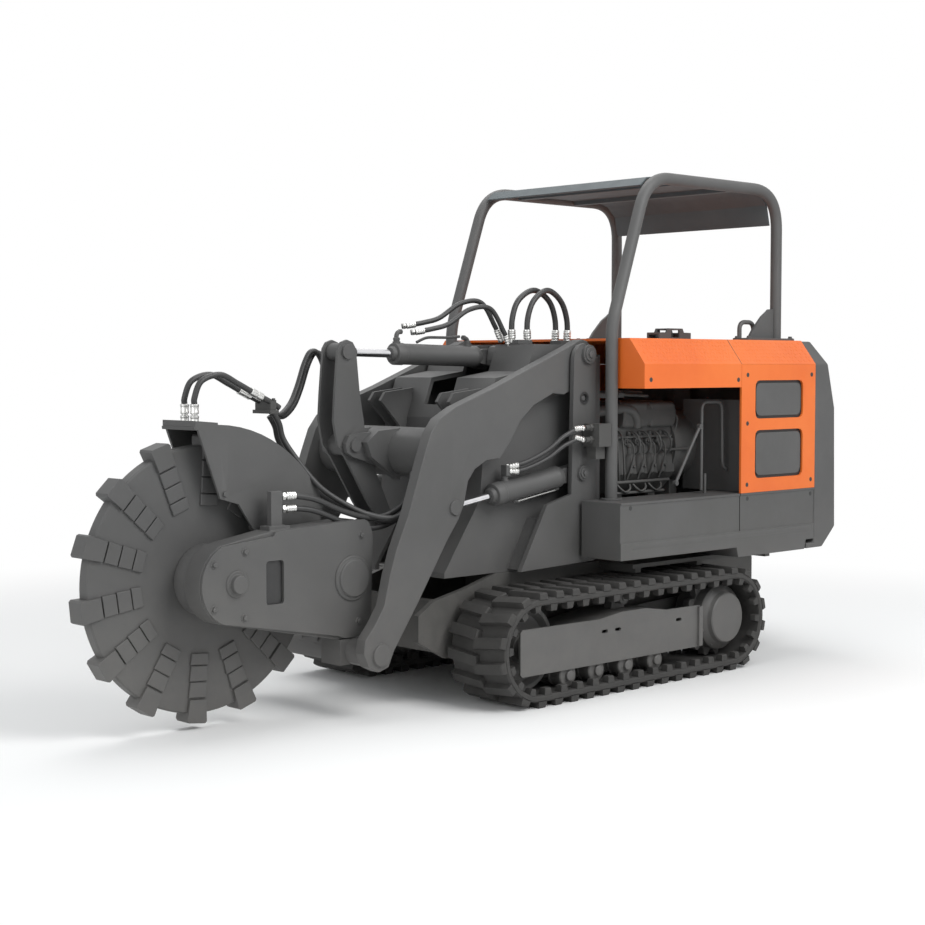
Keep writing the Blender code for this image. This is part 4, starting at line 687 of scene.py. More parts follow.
# %% Wheels and rollers
ROLLER_R = 0.055
ROLLER_Z = AXLE_Z - BELT_BORE + 0.0004 + ROLLER_R
CARRIER_R = 0.034
CARRIER_Z = AXLE_Z + BELT_BORE - 0.0004 - CARRIER_R
FRAME_MID = TRACK_MID + 0.008
RIM = BELT_BORE - 0.0006


def both_ways(side):
    """A profile given for one side only, closed by its own mirror image."""
    return side + [(-a, r) for a, r in side[::-1]]


idler_side = [(0.0605, 0.0315), (0.0605, 0.062), (0.057, 0.066), (0.036, 0.070), (0.032, 0.075),
              (0.032, 0.156), (0.036, 0.162), (0.050, 0.176), (0.055, 0.182), (0.055, RIM - 0.004),
              (0.051, RIM)]
idler_profile = both_ways(idler_side)
idler = turned(idler_profile + idler_profile[:1], (TRACK_MID, IDLER_Y, AXLE_Z), steps=72)
both_sides("idler_wheel", [idler], powder_grey, "idler_wheel_{}", ["idler"])

drum_profile = [(0.440, 0.0765), (0.440, 0.122), (0.444, 0.128), (0.470, 0.160), (0.477, 0.165),
                (0.636, 0.165), (0.642, 0.161), (0.660, 0.136), (0.664, 0.133), (0.683, 0.127),
                (0.688, 0.121), (0.688, 0.0), (0.536, 0.0), (0.536, 0.0765), (0.440, 0.0765)]
TOOTH_COUNT = 14
t = np.linspace(0, 2 * np.pi, TOOTH_COUNT * 12, endpoint=False)
wave = np.clip(np.cos(TOOTH_COUNT * t) * 1.5, -1, 1)
ring_radius = (0.172 + RIM) / 2 + wave * (RIM - 0.172) / 2
sprocket_outline = np.column_stack([SPROCKET_Y + ring_radius * np.cos(t),
                                    AXLE_Z + ring_radius * np.sin(t)])
drum = turned(drum_profile, (0, SPROCKET_Y, AXLE_Z), steps=72)
teeth = plate(sprocket_outline, TRACK_MID - 0.02, TRACK_MID + 0.02)
drum_bolts = bolt_circle((0.640, SPROCKET_Y, AXLE_Z), (1, 0, 0), 0.150, 9, 0.018, 0.008)
both_sides("drive_drum", [drum, teeth] + drum_bolts, powder_grey, "sprocket_wheel_{}",
           ["sprocket"], 0.0015)

roller_side = [(0.1265, 0.0), (0.1265, 0.021), (0.124, 0.024), (0.112, 0.024), (0.110, 0.030),
               (0.110, 0.044), (0.108, 0.051), (0.103, ROLLER_R), (0.080, ROLLER_R),
               (0.076, 0.050), (0.040, 0.050), (0.036, ROLLER_R), (0.0250, ROLLER_R),
               (0.0250, 0.0297)]
carrier_side = [(0.076, 0.0), (0.076, 0.017), (0.073, 0.020), (0.068, 0.020), (0.067, 0.030),
                (0.064, CARRIER_R), (0.0250, CARRIER_R), (0.0250, 0.0157)]
for index, roller_y in enumerate((-0.475, -0.277, -0.065, 0.152), 1):
    roller = turned(both_ways(roller_side), (FRAME_MID, roller_y, ROLLER_Z), steps=40)
    both_sides(f"roller_{index}_steel", [roller], powder_grey, f"roller_{index}_{{}}",
               [f"bottom_roller_{index}"])
top_roller = turned(both_ways(carrier_side), (FRAME_MID, -0.03, CARRIER_Z), steps=40)
both_sides("top_roller_steel", [top_roller], powder_grey, "carrier_wheel_{}",
           ["carrier_roller"])
print("wheels and rollers turned")

# %% [markdown]
# ## Cutter wheel
# The wheel is a thick steel disc.  Fourteen holders run out along each face like spokes; every
# holder is a row of welded blocks with a groove between them, and ends in a leaning cutter
# block that sticks out past the rim.  The disc is turned; the blocks are one small chamfered
# solid, repeated by turning it round the wheel.

# %% Cutter wheel
WHEEL = np.array((0.0, -2.057, 0.64))
DISC_R, DISC_HALF = 0.572, 0.030
TEETH, FIRST_TOOTH = 14, 68.8
STRIP_TOP = DISC_HALF + 0.011


def wheel_turn(degrees):
    """A matrix that carries +Y out along a radius; degrees go up from straight ahead."""
    a = math.radians(degrees)
    out = (0.0, -math.cos(a), math.sin(a))
    side = (0.0, math.sin(a), math.cos(a))
    return np.column_stack([(1.0, 0.0, 0.0), out, side])


def slab(x0, x1, r0, r1, near, far, lean=0.0, chamfer=0.0025):
    """A block from radius r0 to r1, `near` wide inside and `far` wide outside, chamfered."""
    c = chamfer
    def ring(x, inset):
        return [(x, r0 + inset, -near / 2 + inset), (x, r1 - inset, lean - far / 2 + inset),
                (x, r1 - inset, lean + far / 2 - inset), (x, r0 + inset, near / 2 - inset)]
    rings = np.array([ring(x0, c), ring(x0 + c, 0), ring(x1 - c, 0), ring(x1, c)])
    vertices, faces = grid(rings, close_v=True)
    return vertices, faces + [(0, 1, 2, 3), (12, 13, 14, 15)]


def tooth_block():
    """The cutter block past the rim: wider at its leading corner, with a worn, leaning tip."""
    half = STRIP_TOP + 0.004
    outline = [(0.512, -0.043), (0.512, 0.043), (0.566, 0.046), (0.600, 0.050), (0.6105, 0.042),
               (0.6145, -0.042), (0.606, -0.050), (0.566, -0.046)]
    return plate(outline, -half, half)


disc_side = [(DISC_HALF, 0.0), (DISC_HALF, DISC_R - 0.006), (DISC_HALF - 0.006, DISC_R)]
wheel_parts = [turned(both_ways(disc_side), WHEEL, steps=140)]
GROOVE = 0.004
STEPS_OUT = (0.314, 0.368, 0.438, 0.508)
for k in range(TEETH):
    matrix = wheel_turn(FIRST_TOOTH - 360 * k / TEETH)
    for inner, outer in zip(STEPS_OUT, STEPS_OUT[1:]):
        for side in (-1, 1):
            lo, hi = sorted((side * (DISC_HALF - 0.002), side * STRIP_TOP))
            wheel_parts.append(moved(slab(lo, hi, inner, outer - GROOVE, 0.084, 0.090, 0.002),
                                     matrix, WHEEL))
    wheel_parts.append(moved(tooth_block(), matrix, WHEEL))
piece("cutter_wheel_steel", wheel_parts, powder_grey, "cutter", ["cutter_wheel"],
      0.002)

hub_profile = [(0.0304, 0.0), (0.0304, 0.150), (0.034, 0.1535), (0.046, 0.1535), (0.075, 0.139),
               (0.105, 0.122), (0.130, 0.107), (0.1440, 0.096), (0.1446, 0.033),
               (0.252, 0.033), (0.252, 0.0)]
hub_parts = [turned(hub_profile, WHEEL, steps=72)]
for k in range(8):
    a = 2 * math.pi * (k + 0.5) / 8
    spot = WHEEL + (0.054, 0.122 * math.cos(a) * 1.09, 0.122 * math.sin(a) * 1.09)
    hub_parts += hexagon(spot, (1, 0, 0), 0.020, 0.010)
piece("wheel_hub_cone", hub_parts, powder_grey, "cutter", ["wheel_hub"])
print(len(wheel_parts), "blocks on the cutter wheel")

# %% [markdown]
# ## Drive case
# The case is a flat box of welded plate with a bolted cover.  The cover carries two turned
# bearing caps, a rectangular slot with a flat dark plate just inside it as painted shade for the
# slot's depth, and six bolts on small pads.  The outline is one polygon whose round front follows
# the wheel's shaft.

# %% Outlines of the drive case
CASE_OUT, COVER_OUT = 0.255, 0.270
MOTOR = np.array((0.0, -1.430, 0.613))


def rounded(corners, radii, steps=6):
    """A closed outline with each corner replaced by a quadratic curve of its own reach."""
    p = np.asarray(corners, float)
    before, after = np.roll(p, 1, 0) - p, np.roll(p, -1, 0) - p
    far_b, far_a = np.linalg.norm(before, axis=1), np.linalg.norm(after, axis=1)
    reach = np.minimum(np.broadcast_to(radii, len(p)), np.minimum(far_b, far_a) * 0.49)
    a = p + before * (reach / far_b)[:, None]
    b = p + after * (reach / far_a)[:, None]
    t = np.linspace(0, 1, steps + 1)[None, :, None]
    return (a[:, None] * (1 - t) ** 2 + p[:, None] * (2 * t * (1 - t))
            + b[:, None] * t ** 2).reshape(-1, 2)


def case_outline(inset):
    """A round nose about the shaft, then the flat belly, the heel and the sloping top."""
    nose = arc(WHEEL[1:], 0.180 - inset, 115, 245, 28)
    heel = rounded([(-1.50, 0.345 + inset), (-1.322 - inset, 0.352 + inset),
                    (-1.308 - inset, 0.800), (-1.335 - inset, 0.874 - inset),
                    (-1.867, 0.846 - inset)], [0.02, 0.075, 0.02, 0.075, 0.02], 8)
    return np.vstack([nose, heel])


def holed(outline, hole, lo, hi):
    """A plate with one hole: rings of equal length, matched by angle round the hole's middle."""
    middle = np.mean(hole, 0)
    angle = np.linspace(-np.pi, np.pi, 240, endpoint=False)
    rings = []
    for loop in (outline, hole):
        loop = np.asarray(loop) - middle
        loop = np.vstack([loop, loop[:1]])
        fine = np.column_stack([np.interp(np.linspace(0, 1, 4001), np.linspace(0, 1, len(loop)),
                                          loop[:, i]) for i in (0, 1)])[:-1]
        turn = np.arctan2(fine[:, 1], fine[:, 0])
        order = np.argsort(turn)
        turn, fine = turn[order], fine[order]
        rings.append(np.column_stack([np.interp(angle, turn, fine[:, i], period=2 * np.pi)
                                      for i in (0, 1)]) + middle)
    outer, inner = rings
    stack = [np.column_stack([np.full(240, x), ring]) for x, ring in
             ((lo, outer), (hi, outer), (hi, inner), (lo, inner))]
    return grid(np.stack(stack), True, True)


print("outline of", len(case_outline(0.0)), "points")

# %% Cover of the drive case
slot_outline = rounded([(-1.905, 0.537), (-1.812, 0.537), (-1.812, 0.723), (-1.905, 0.723)], 0.016)
cover_parts = [holed(case_outline(0.003), slot_outline, CASE_OUT + 0.0006, COVER_OUT)]
cover_parts.append(turned([(COVER_OUT - 0.004, 0), (COVER_OUT - 0.004, 0.058), (0.272, 0.058),
                           (0.277, 0.054), (0.277, 0.044), (0.279, 0.041), (0.297, 0.039),
                           (0.300, 0.036), (0.300, 0.0)], (0, *WHEEL[1:]), steps=56))
cover_parts.append(turned([(COVER_OUT - 0.004, 0), (COVER_OUT - 0.004, 0.101), (0.274, 0.101),
                           (0.279, 0.097), (0.279, 0.087), (0.281, 0.084), (0.286, 0.083),
                           (0.290, 0.079), (0.290, 0.0)], MOTOR, steps=64))
# The dark plate in the slot is painted shade: a flat dark sheet that stands for the darkness deep
# inside the slot.
shade = rounded([(-1.909, 0.533), (-1.808, 0.533), (-1.808, 0.727), (-1.909, 0.727)], 0.016)
piece("slot_painted_shade", [plate(shade, CASE_OUT + 0.0002, CASE_OUT + 0.0005)], hose_rubber,
      "grinder_head")
COVER_BOLTS = [(-2.015, 0.772), (-2.172, 0.730), (-2.175, 0.545), (-2.020, 0.495),
               (-1.378, 0.800), (-1.395, 0.420)]
for y, z in COVER_BOLTS:
    cover_parts.append(turned([(COVER_OUT - 0.002, 0), (COVER_OUT - 0.002, 0.019),
                               (COVER_OUT + 0.003, 0.017), (COVER_OUT + 0.003, 0)], (0, y, z),
                              steps=24))
    cover_parts += hexagon((COVER_OUT + 0.003, y, z), (1, 0, 0), 0.021, 0.009)
piece("drive_cover_plate", cover_parts, powder_grey, "grinder_head",
      ["drive_cover"], 0.0035, 3)
print("drive cover made")

# %% [markdown]
# ## Hydraulic cylinders
# A cylinder is a honed tube with a welded end cap and a screwed gland, through which a ground and
# chromed rod slides.  Everything is turned about one line from the rear pin to the front pin.
# The oil ports are short bosses with forged elbows, and a thin steel pipe feeds the far end.

# %% Cylinder parts
CYL_X = 0.405
CYL_PIN, ROD_PIN = (-0.150, 1.031), (-0.965, 0.907)
TILT_PIN, CRANK_TOP = (-0.338, 1.590), (-1.280, 1.610)


def along(x, rear, tip, distance, up=0.0):
    """A point at a distance from the rear pin towards the front one, and above that line."""
    way = np.subtract(tip, rear) / math.dist(rear, tip)
    y, z = np.asarray(rear) + way * distance
    return np.array((x, y, z + up))


def barrel_parts(x, rear, tip, radius, start, end, rod_r, half):
    """Cap, weld bead, tube, gland nut and wiper as one profile, with the pin eye behind it."""
    profile = [(start, 0), (start, radius * 0.66), (start + 0.006, radius * 0.84),
               (start + 0.016, radius * 0.96), (start + 0.022, radius), (start + 0.034, radius),
               (start + 0.038, radius * 1.035), (start + 0.044, radius * 1.035),
               (start + 0.048, radius), (end - 0.078, radius), (end - 0.075, radius * 1.05),
               (end - 0.028, radius * 1.05), (end - 0.022, radius * 0.98),
               (end - 0.020, radius * 0.72), (end - 0.006, radius * 0.66), (end, radius * 0.58),
               (end, rod_r + 0.0002), (end - 0.03, rod_r + 0.0002), (end - 0.03, 0)]
    way = along(x, rear, tip, 1.0) - along(x, rear, tip, 0.0)
    parts = [turned(profile, along(x, rear, tip, 0.0), way, 64)]
    eye = strap(rear, along(x, rear, tip, start + 0.004)[1:], 0.040, 0.036)
    parts.append(plate(eye, x - half, x + half))
    return parts


def elbow(at, up, bore, out, reach):
    """A forged elbow: a collar on the port, a bend of a quarter turn and a hexagon at its end."""
    at, out = np.asarray(at, float), np.asarray(out, float)
    top = at + (0, 0, up)
    path = smooth_path([at, at + (0, 0, up * 0.55), top - (0, 0, 0.004) + out * 0.010,
                        top + out * reach], 0.003)
    nut = turned([(0, 0), (0, bore), (0.012, bore), (0.012, 0)], top + out * (reach - 0.012),
                 out, 6)
    collar = turned([(0, 0), (0, bore * 1.25), (0.010, bore * 1.25), (0.013, bore), (0.013, 0)],
                    at, (0, 0, np.sign(up)), 24)
    return [swept(path, bore * 0.85, 18), nut, collar]


def rod_parts(x, rear, tip, start, radius, eye_r):
    """The chromed bar, which ends where its eye is welded on."""
    length = math.dist(rear, tip)
    way = along(x, rear, tip, 1.0) - along(x, rear, tip, 0.0)
    bar = [(start, 0), (start, radius), (length - eye_r * 1.3, radius), (length - eye_r * 1.3, 0)]
    return [turned(bar, along(x, rear, tip, 0.0), way, 40)]


def eye_parts(x, rear, tip, radius, eye_r, half):
    """The forged rod eye: a neck turned on the bar's line and a rounded plate round the pin."""
    length = math.dist(rear, tip)
    way = along(x, rear, tip, 1.0) - along(x, rear, tip, 0.0)
    neck = [(length - eye_r * 1.5, 0), (length - eye_r * 1.5, radius * 1.15),
            (length - eye_r * 0.8, radius * 1.3), (length - eye_r * 0.8, 0)]
    shape = strap(along(x, rear, tip, length - eye_r * 1.25)[1:], tip, eye_r * 0.60, eye_r * 0.97)
    return [turned(neck, along(x, rear, tip, 0.0), way, 32), plate(shape, x - half, x + half)]


# %% Lift cylinders
lift = (CYL_X, CYL_PIN, ROD_PIN)
lift_parts = barrel_parts(*lift, 0.0525, 0.092, 0.575, 0.016, 0.028)
for distance in (0.115, 0.400):
    lift_parts.append(turned([(0, 0), (0, 0.017), (0.062, 0.015), (0.062, 0)],
                             along(*lift, distance), (0, 0, -1), 24))
top_port = along(*lift, 0.470, 0.044)
lift_parts.append(turned([(0, 0), (0, 0.019), (0.012, 0.019), (0.012, 0.015), (0.030, 0.015),
                          (0.030, 0)], top_port, (0, 0, 1), 24))
lift_parts.append(block((0.392, 0.430), (-0.628, -0.600), (1.0354, 1.085)))
both_sides("lift_tube", lift_parts, powder_grey, "lift_cylinder_{}",
           ["lift_barrel"], 0.0015)
feed = pipe([along(*lift, 0.106, -0.030), along(*lift, 0.110, -0.062),
             along(*lift, 0.405, -0.062), along(*lift, 0.409, -0.030)], 0.0075, 0.02)
both_sides("lift_feed_pipe", [feed], zinc_plate, "lift_cylinder_{}", [])
both_sides("lift_rod_bar", rod_parts(*lift, 0.360, 0.016, 0.034), hard_chrome,
           "lift_cylinder_rod_{}", ["lift_rod"])
both_sides("lift_rod_eye", eye_parts(*lift, 0.016, 0.034, 0.015), powder_grey,
           "lift_cylinder_rod_{}", [], 0.002)

# %% Tilt cylinder
tilt = (0.0, TILT_PIN, CRANK_TOP)
tilt_parts = barrel_parts(*tilt, 0.050, 0.055, 0.634, 0.019, 0.042)
front_top, rear_top = along(*tilt, 0.590, 0.044), along(*tilt, 0.130, 0.044)
for port in (front_top, rear_top):
    tilt_parts.append(turned([(0, 0), (0, 0.019), (0.014, 0.019), (0.014, 0.015), (0.024, 0.015),
                              (0.024, 0)], port, (0, 0, 1), 24))
for port, up, way in ((front_top, 0.040, (0, 1, 0)), (rear_top, 0.026, (0, -1, 0))):
    tilt_parts += elbow(port + (0, 0, 0.02), up, 0.013, way, 0.030)
piece("tilt_tube", tilt_parts, powder_grey, "tilt_cylinder", ["tilt_barrel"], 0.0015)
feed_z = 1.688
top_pipe = pipe([(0, -0.52, feed_z), (0, -0.60, feed_z - 0.006), (0, -0.74, feed_z - 0.006),
                 (0, -0.80, feed_z - 0.03)], 0.007, 0.03)
piece("tilt_feed_pipe", [top_pipe], powder_grey, "tilt_cylinder")
piece("tilt_rod_bar", rod_parts(*tilt, 0.42, 0.019, 0.042), hard_chrome, "tilt_cylinder_rod",
      ["tilt_rod"])
piece("tilt_rod_eye", eye_parts(*tilt, 0.019, 0.042, 0.041), powder_grey, "tilt_cylinder_rod",
      [], 0.002)
print("cylinders made")

# %% [markdown]
# ## Hoses
# Hydraulic hoses are rubber over braided steel wire.  Each runs on a smooth curve, because the
# wire resists a sharp bend.  Their ends are zinc-plated: a ribbed sleeve is crimped on the hose and
# a hexagon nut screws it to the port.  A hose that crosses a joint is not parented to either body;
# where it has end fittings, those go with the bodies on either side.

# %% Hose ends
def sleeve(at, way, hose_r):
    """A crimped sleeve and a nut, turned about the hose's line and starting at the port."""
    r = hose_r
    profile = [(0.0, 0.0), (0.0, r * 0.9), (0.002, r * 1.0), (0.020, r * 1.0), (0.022, r * 1.12),
               (0.024, r * 1.34), (0.030, r * 1.38), (0.033, r * 1.26), (0.036, r * 1.36),
               (0.043, r * 1.36), (0.045, r * 1.26), (0.048, r * 1.36), (0.055, r * 1.36),
               (0.057, r * 1.26), (0.060, r * 1.36), (0.066, r * 1.30), (0.068, r * 1.05),
               (0.068, 0.0)]
    nut = turned([(0.003, 0), (0.003, r * 1.22), (0.005, r * 1.34), (0.017, r * 1.34),
                  (0.019, r * 1.22), (0.019, 0)], at, way, 6)
    return [turned(profile, at, way, 32), nut]


def hose_set(name, lines, radius, body, replaces, bend=None):
    """Hoses along their lines; `bend` is (near body, far body, start, end) across a joint."""
    tubes, near, far = [], [], []
    for line in lines:
        path = smooth_path(line, radius * 0.8)
        tubes.append(swept(path, radius, 18))
        near += sleeve(path[0], path[4] - path[0], radius)
        far += sleeve(path[-1], path[-5] - path[-1], radius)
    near_body, far_body = bend[:2] if bend else (body, body)
    piece(name, tubes, hose_rubber, bend or body, replaces)
    piece(name + "_near_ends", near, zinc_plate, near_body, [], 0.0006)
    piece(name + "_far_ends", far, zinc_plate, far_body, [], 0.0006)


def tracked(x, y, z):
    """A point of the tracks' frame in the whole machine's frame."""
    return (x, y + SHIFT, z)


print("hose helpers ready")

# %% Hoses on the grinder head
arch = [(-2.100, 1.386), (-2.100, 1.41), (-2.065, 1.475), (-1.97, 1.497), (-1.88, 1.455),
        (-1.80, 1.412), (-1.70, 1.362), (-1.66, 1.335)]
arch_lines = [[(x + 0.012 * k / 7, y, z + 0.004 * k) for k, (y, z) in enumerate(arch)]
              for x in (-0.036, 0.036)]
tubes = [tube(line, 0.013, 18, 0.010) for line in arch_lines]
piece("guard_hose_arch", tubes, hose_rubber, "grinder_head", ["guard_hoses"])
fittings = []
for line in arch_lines:
    x = line[0][0]
    for low, high in ((1.298, 1.338), (1.344, 1.386)):
        fittings.append(turned([(0, 0), (0, 0.0165), (0.002, 0.0185), (0.012, 0.0185),
                                (0.014, 0.0175), (high - low - 0.012, 0.0175),
                                (high - low - 0.010, 0.0190), (high - low - 0.002, 0.0190),
                                (high - low, 0.0165), (high - low, 0)], (x, -2.10, low), (0, 0, 1),
                               32))
    fittings.append(turned([(0, 0), (0, 0.013), (0.012, 0.013), (0.012, 0)], (x, -2.10, 1.335),
                           (0, 0, 1), 24))
    path = smooth_path(line, 0.010)
    k = int(len(path) * (0.72 if x < 0 else 0.74))
    fittings.append(turned([(-0.034, 0), (-0.034, 0.016), (-0.032, 0.018), (-0.004, 0.018),
                            (-0.003, 0.016), (0.003, 0.016), (0.004, 0.018), (0.032, 0.018),
                            (0.034, 0.016), (0.034, 0)], path[k], path[k + 3] - path[k], 32))
piece("guard_hose_fittings", fittings, zinc_plate, "grinder_head", [], 0.0006)
clamp = [block((-0.052, 0.060), (-1.716, -1.684), (1.352, 1.398)),
         block((-0.060, 0.068), (-1.724, -1.676), (1.338, 1.354))]
for x in (-0.052, 0.004, 0.060):
    clamp += hexagon((x, -1.70, 1.398), (0, 0, 1), 0.014, 0.008)
piece("hose_clamp", clamp, powder_dark, "grinder_head", [], 0.004)

case_run = [(-1.770, 0.989), (-1.70, 0.986), (-1.60, 0.966), (-1.45, 0.905), (-1.30, 0.870),
            (-1.17, 0.900), (-1.085, 0.985), (-1.060, 1.060)]
lower_run = [(y, z - 0.056 + 0.020 * k / 7) for k, (y, z) in enumerate(case_run)]
over_head_pin = ("grinder_head", "lift_arms", tracked(0.2, -1.62, 1.0), tracked(0.25, -1.14, 1.09))
hose_set("case_hose_pair", [[(0.200 + 0.014 * k, y, z) for k, (y, z) in enumerate(run)]
                            for run in (case_run, lower_run)], 0.013, "grinder_head",
         ["case_hoses"], over_head_pin)

arm_run = [(0.020, -1.670, 1.338), (0.024, -1.642, 1.292), (0.030, -1.622, 1.220),
           (0.080, -1.571, 1.115), (0.140, -1.505, 1.010), (0.200, -1.414, 0.935),
           (0.260, -1.320, 0.885), (0.315, -1.215, 0.870), (0.325, -1.130, 0.925),
           (0.300, -1.085, 1.020), (0.290, -1.068, 1.076)]
arm_lines = [arm_run, [(x - 0.038, y + 0.006, z - 0.012) for x, y, z in arm_run]]
over_head_pin = ("grinder_head", "lift_arms", tracked(0.1, -1.58, 1.2), tracked(0.3, -1.16, 0.95))
piece("head_to_arm_tubes", [tube(line, 0.013, 18, 0.010) for line in arm_lines], hose_rubber,
      over_head_pin, ["head_to_arm_hoses"])

loop_run = [(-0.015, -1.675, 1.360), (-0.050, -1.610, 1.330), (-0.085, -1.545, 1.330),
            (-0.115, -1.470, 1.375), (-0.140, -1.410, 1.450), (-0.160, -1.350, 1.560),
            (-0.166, -1.305, 1.612), (-0.170, -1.250, 1.585), (-0.174, -1.180, 1.420),
            (-0.176, -1.115, 1.300), (-0.176, -1.070, 1.255)]
loop_lines = [[(x - shift, y + 1.4 * shift, z - 0.2 * shift) for x, y, z in loop_run]
              for shift in (0.0, 0.034)]
over_head_pin = ("grinder_head", "lift_arms", tracked(0.0, -1.60, 1.33), tracked(0.0, -1.15, 1.33))
piece("loop_tubes", [tube(line, 0.013, 18, 0.010) for line in loop_lines], hose_rubber,
      over_head_pin)

# %% Hoses on the carrier
loops = []
for front, rear, side in ((-0.348, -0.044, 0.190), (-0.277, 0.004, 0.225)):
    middle = (front + rear) / 2
    line = [(front, 1.655), (front, 1.77), (front + 0.045, 1.865), (middle, 1.915),
            (rear - 0.045, 1.865), (rear, 1.77), (rear, 1.655)]
    loops.append([(side, y, z) for y, z in line])
hose_set("tower_hose_loops", loops, 0.014, "carrier", ["tower_hoses"])
feet = [block((0.170, 0.245), (-0.360, -0.262), (1.6504, 1.672)),
        block((0.170, 0.245), (-0.060, 0.018), (1.6504, 1.672))]
piece("hose_feet", feet, powder_grey, "carrier", [], 0.003)

tilt_run = [(-0.895, 1.732), (-0.86, 1.738), (-0.78, 1.752), (-0.70, 1.775), (-0.58, 1.845),
            (-0.46, 1.850), (-0.385, 1.74), (-0.355, 1.66)]
tilt_lines = [[(0.018 * k, y, z) for k, (y, z) in enumerate(tilt_run)],
              [(0.052 + 0.018 * k, y + 0.010, z - 0.030) for k, (y, z) in enumerate(tilt_run)]]
over_tilt_pin = ("tilt_cylinder", "carrier", tracked(0.0, -0.80, 1.75), tracked(0.1, -0.38, 1.75))
hose_set("tilt_hose_pair", tilt_lines, 0.012, "tilt_cylinder", ["tilt_hoses"], over_tilt_pin)

lift_run = [(-0.2100, 1.251), (-0.240, 1.251), (-0.33, 1.215), (-0.42, 1.15), (-0.52, 1.10),
            (-0.590, 1.080), (-0.6145, 1.074)]
spread = [0.538, 0.535, 0.52, 0.495, 0.46, 0.43, CYL_X]
over_lift_pin = ("carrier", "lift_cylinder_left", tracked(0.53, -0.26, 1.2),
                 tracked(0.42, -0.56, 1.08))
hose_set("lift_hose_pair", [[(x, y, z) for x, (y, z) in zip(spread, lift_run)],
                            [(x, y, z - 0.057 * (1 - k / 9))
                             for k, (x, (y, z)) in enumerate(zip(spread, lift_run))]], 0.011,
         "carrier", ["lift_hoses"], over_lift_pin)
print("hoses run")

# %% [markdown]
# ## Hood, windows and bolts
# The sloping shoulder of the hood is embossed with short crossed bars, so that a boot grips it.
# The windows in the rear panels are closed by plain plates with a dark gap round them.  Small
# black screws hold the sheets, and a bent steel bracket stands on the hood's top sheet.

# %% Tread and seam of the hood
SHEET_OUT, BOX_OUT = 0.7393, 0.7344
FOLD = np.array((SHEET_OUT, 1.556))
EDGE = np.array((0.6446, 1.680))
REAR_SPLIT = 0.75


def on_shoulder(y, up, lift=0.0):
    """A point on the left shoulder: up is 0 at the fold and 1 at the top, lift is out from it."""
    along_slope = EDGE - FOLD
    out = np.array((along_slope[1], -along_slope[0])) / np.linalg.norm(along_slope)
    x, z = FOLD + along_slope * up + out * lift
    return np.array((x, y, z))


def grip_bar(y, up, sign, length=0.017, width=0.0045, height=0.0012):
    """One low bar of the tread, laid at 45 degrees: a rectangle with a smaller top."""
    slope = np.linalg.norm(EDGE - FOLD)
    rings = []
    for lift, inset in ((-0.0005, 0.0), (height, 0.0012)):
        half, wide = length / 2 - inset, width / 2 - inset
        ring = []
        for a, b in ((-half, -wide), (half, -wide), (half, wide), (-half, wide)):
            step, rise = (a - b * sign) * 0.7071, (a * sign + b) * 0.7071
            ring.append(on_shoulder(y + step, up + rise / slope, lift))
        rings.append(ring)
    vertices, faces = grid(np.array(rings), close_v=True)
    return vertices, faces + [(4, 5, 6, 7)]


tread = []
for row in range(6):
    for k in range(55):
        y = 0.035 + 0.0245 * (k + 0.5 * (row % 2))
        if abs(y - REAR_SPLIT) > 0.018:
            tread.append(grip_bar(y, 0.14 + 0.145 * row, 1 if (k + row) % 2 else -1))
both_sides("hood_tread", tread, sprayed_orange, "carrier", [])

seam_points = [on_shoulder(REAR_SPLIT + dy, up, 0.0004) for up, dy in
               ((0.0, -0.0016), (0.0, 0.0016), (1.0, 0.0016), (1.0, -0.0016))]
seam_under = [point - (0.0006, 0.0, 0.0006) for point in seam_points]
seam_vertices, seam_faces = grid(np.array([seam_under, seam_points]), close_v=True)
both_sides("hood_seam", [(seam_vertices, seam_faces + [(4, 5, 6, 7)])], hose_rubber, "carrier",
           [])

print(len(tread), "bars on each shoulder")

# %% Windows of the rear panels
WINDOWS = ((0.970, 1.217), (1.276, 1.472))
WINDOW_Y = (0.868, 1.284)
inserts, backs = [], []
for low, high in WINDOWS:
    corners = np.array([(WINDOW_Y[0], low), (WINDOW_Y[1], low), (WINDOW_Y[1], high),
                        (WINDOW_Y[0], high)])
    middle = corners.mean(0)
    shrunk = middle + (corners - middle) * (1 - 0.014 / (np.abs(corners - middle)))
    inserts.append(plate(rounded(shrunk, 0.040), 0.7245, 0.7335))
    grown = middle + (corners - middle) * (1 + 0.028 / (np.abs(corners - middle)))
    backs.append(plate(rounded(grown, 0.050), 0.7203, 0.7240))
both_sides("window_plate", inserts, powder_grey, "carrier", ["window_grille"],
           0.001)
both_sides("window_back", backs, hose_rubber, "carrier", [])

print(len(WINDOWS), "windows closed on each side")

# %% Screws and the bracket on the hood
SCREWS = [(0.040, 1.480), (0.724, 1.476), (0.802, 1.253), (0.802, 0.941), (1.360, 0.944),
          (1.360, 1.500), (0.802, 1.500)]
BOX_SCREWS = [(-0.100, 0.872), (0.813, 0.869), (1.365, 0.867)]
screw_side = [(0.0, 0), (0.0, 0.0115), (0.0004, 0.0115), (0.0006, 0.0100), (0.0006, 0.0060),
              (-0.004, 0.0055), (-0.004, 0)]
screws = [turned(screw_side, (SHEET_OUT, y, z), steps=18) for y, z in SCREWS]
screws += [turned(screw_side, (BOX_OUT, y, z), steps=18) for y, z in BOX_SCREWS]
both_sides("sheet_screws", screws, hose_rubber, "carrier", [])

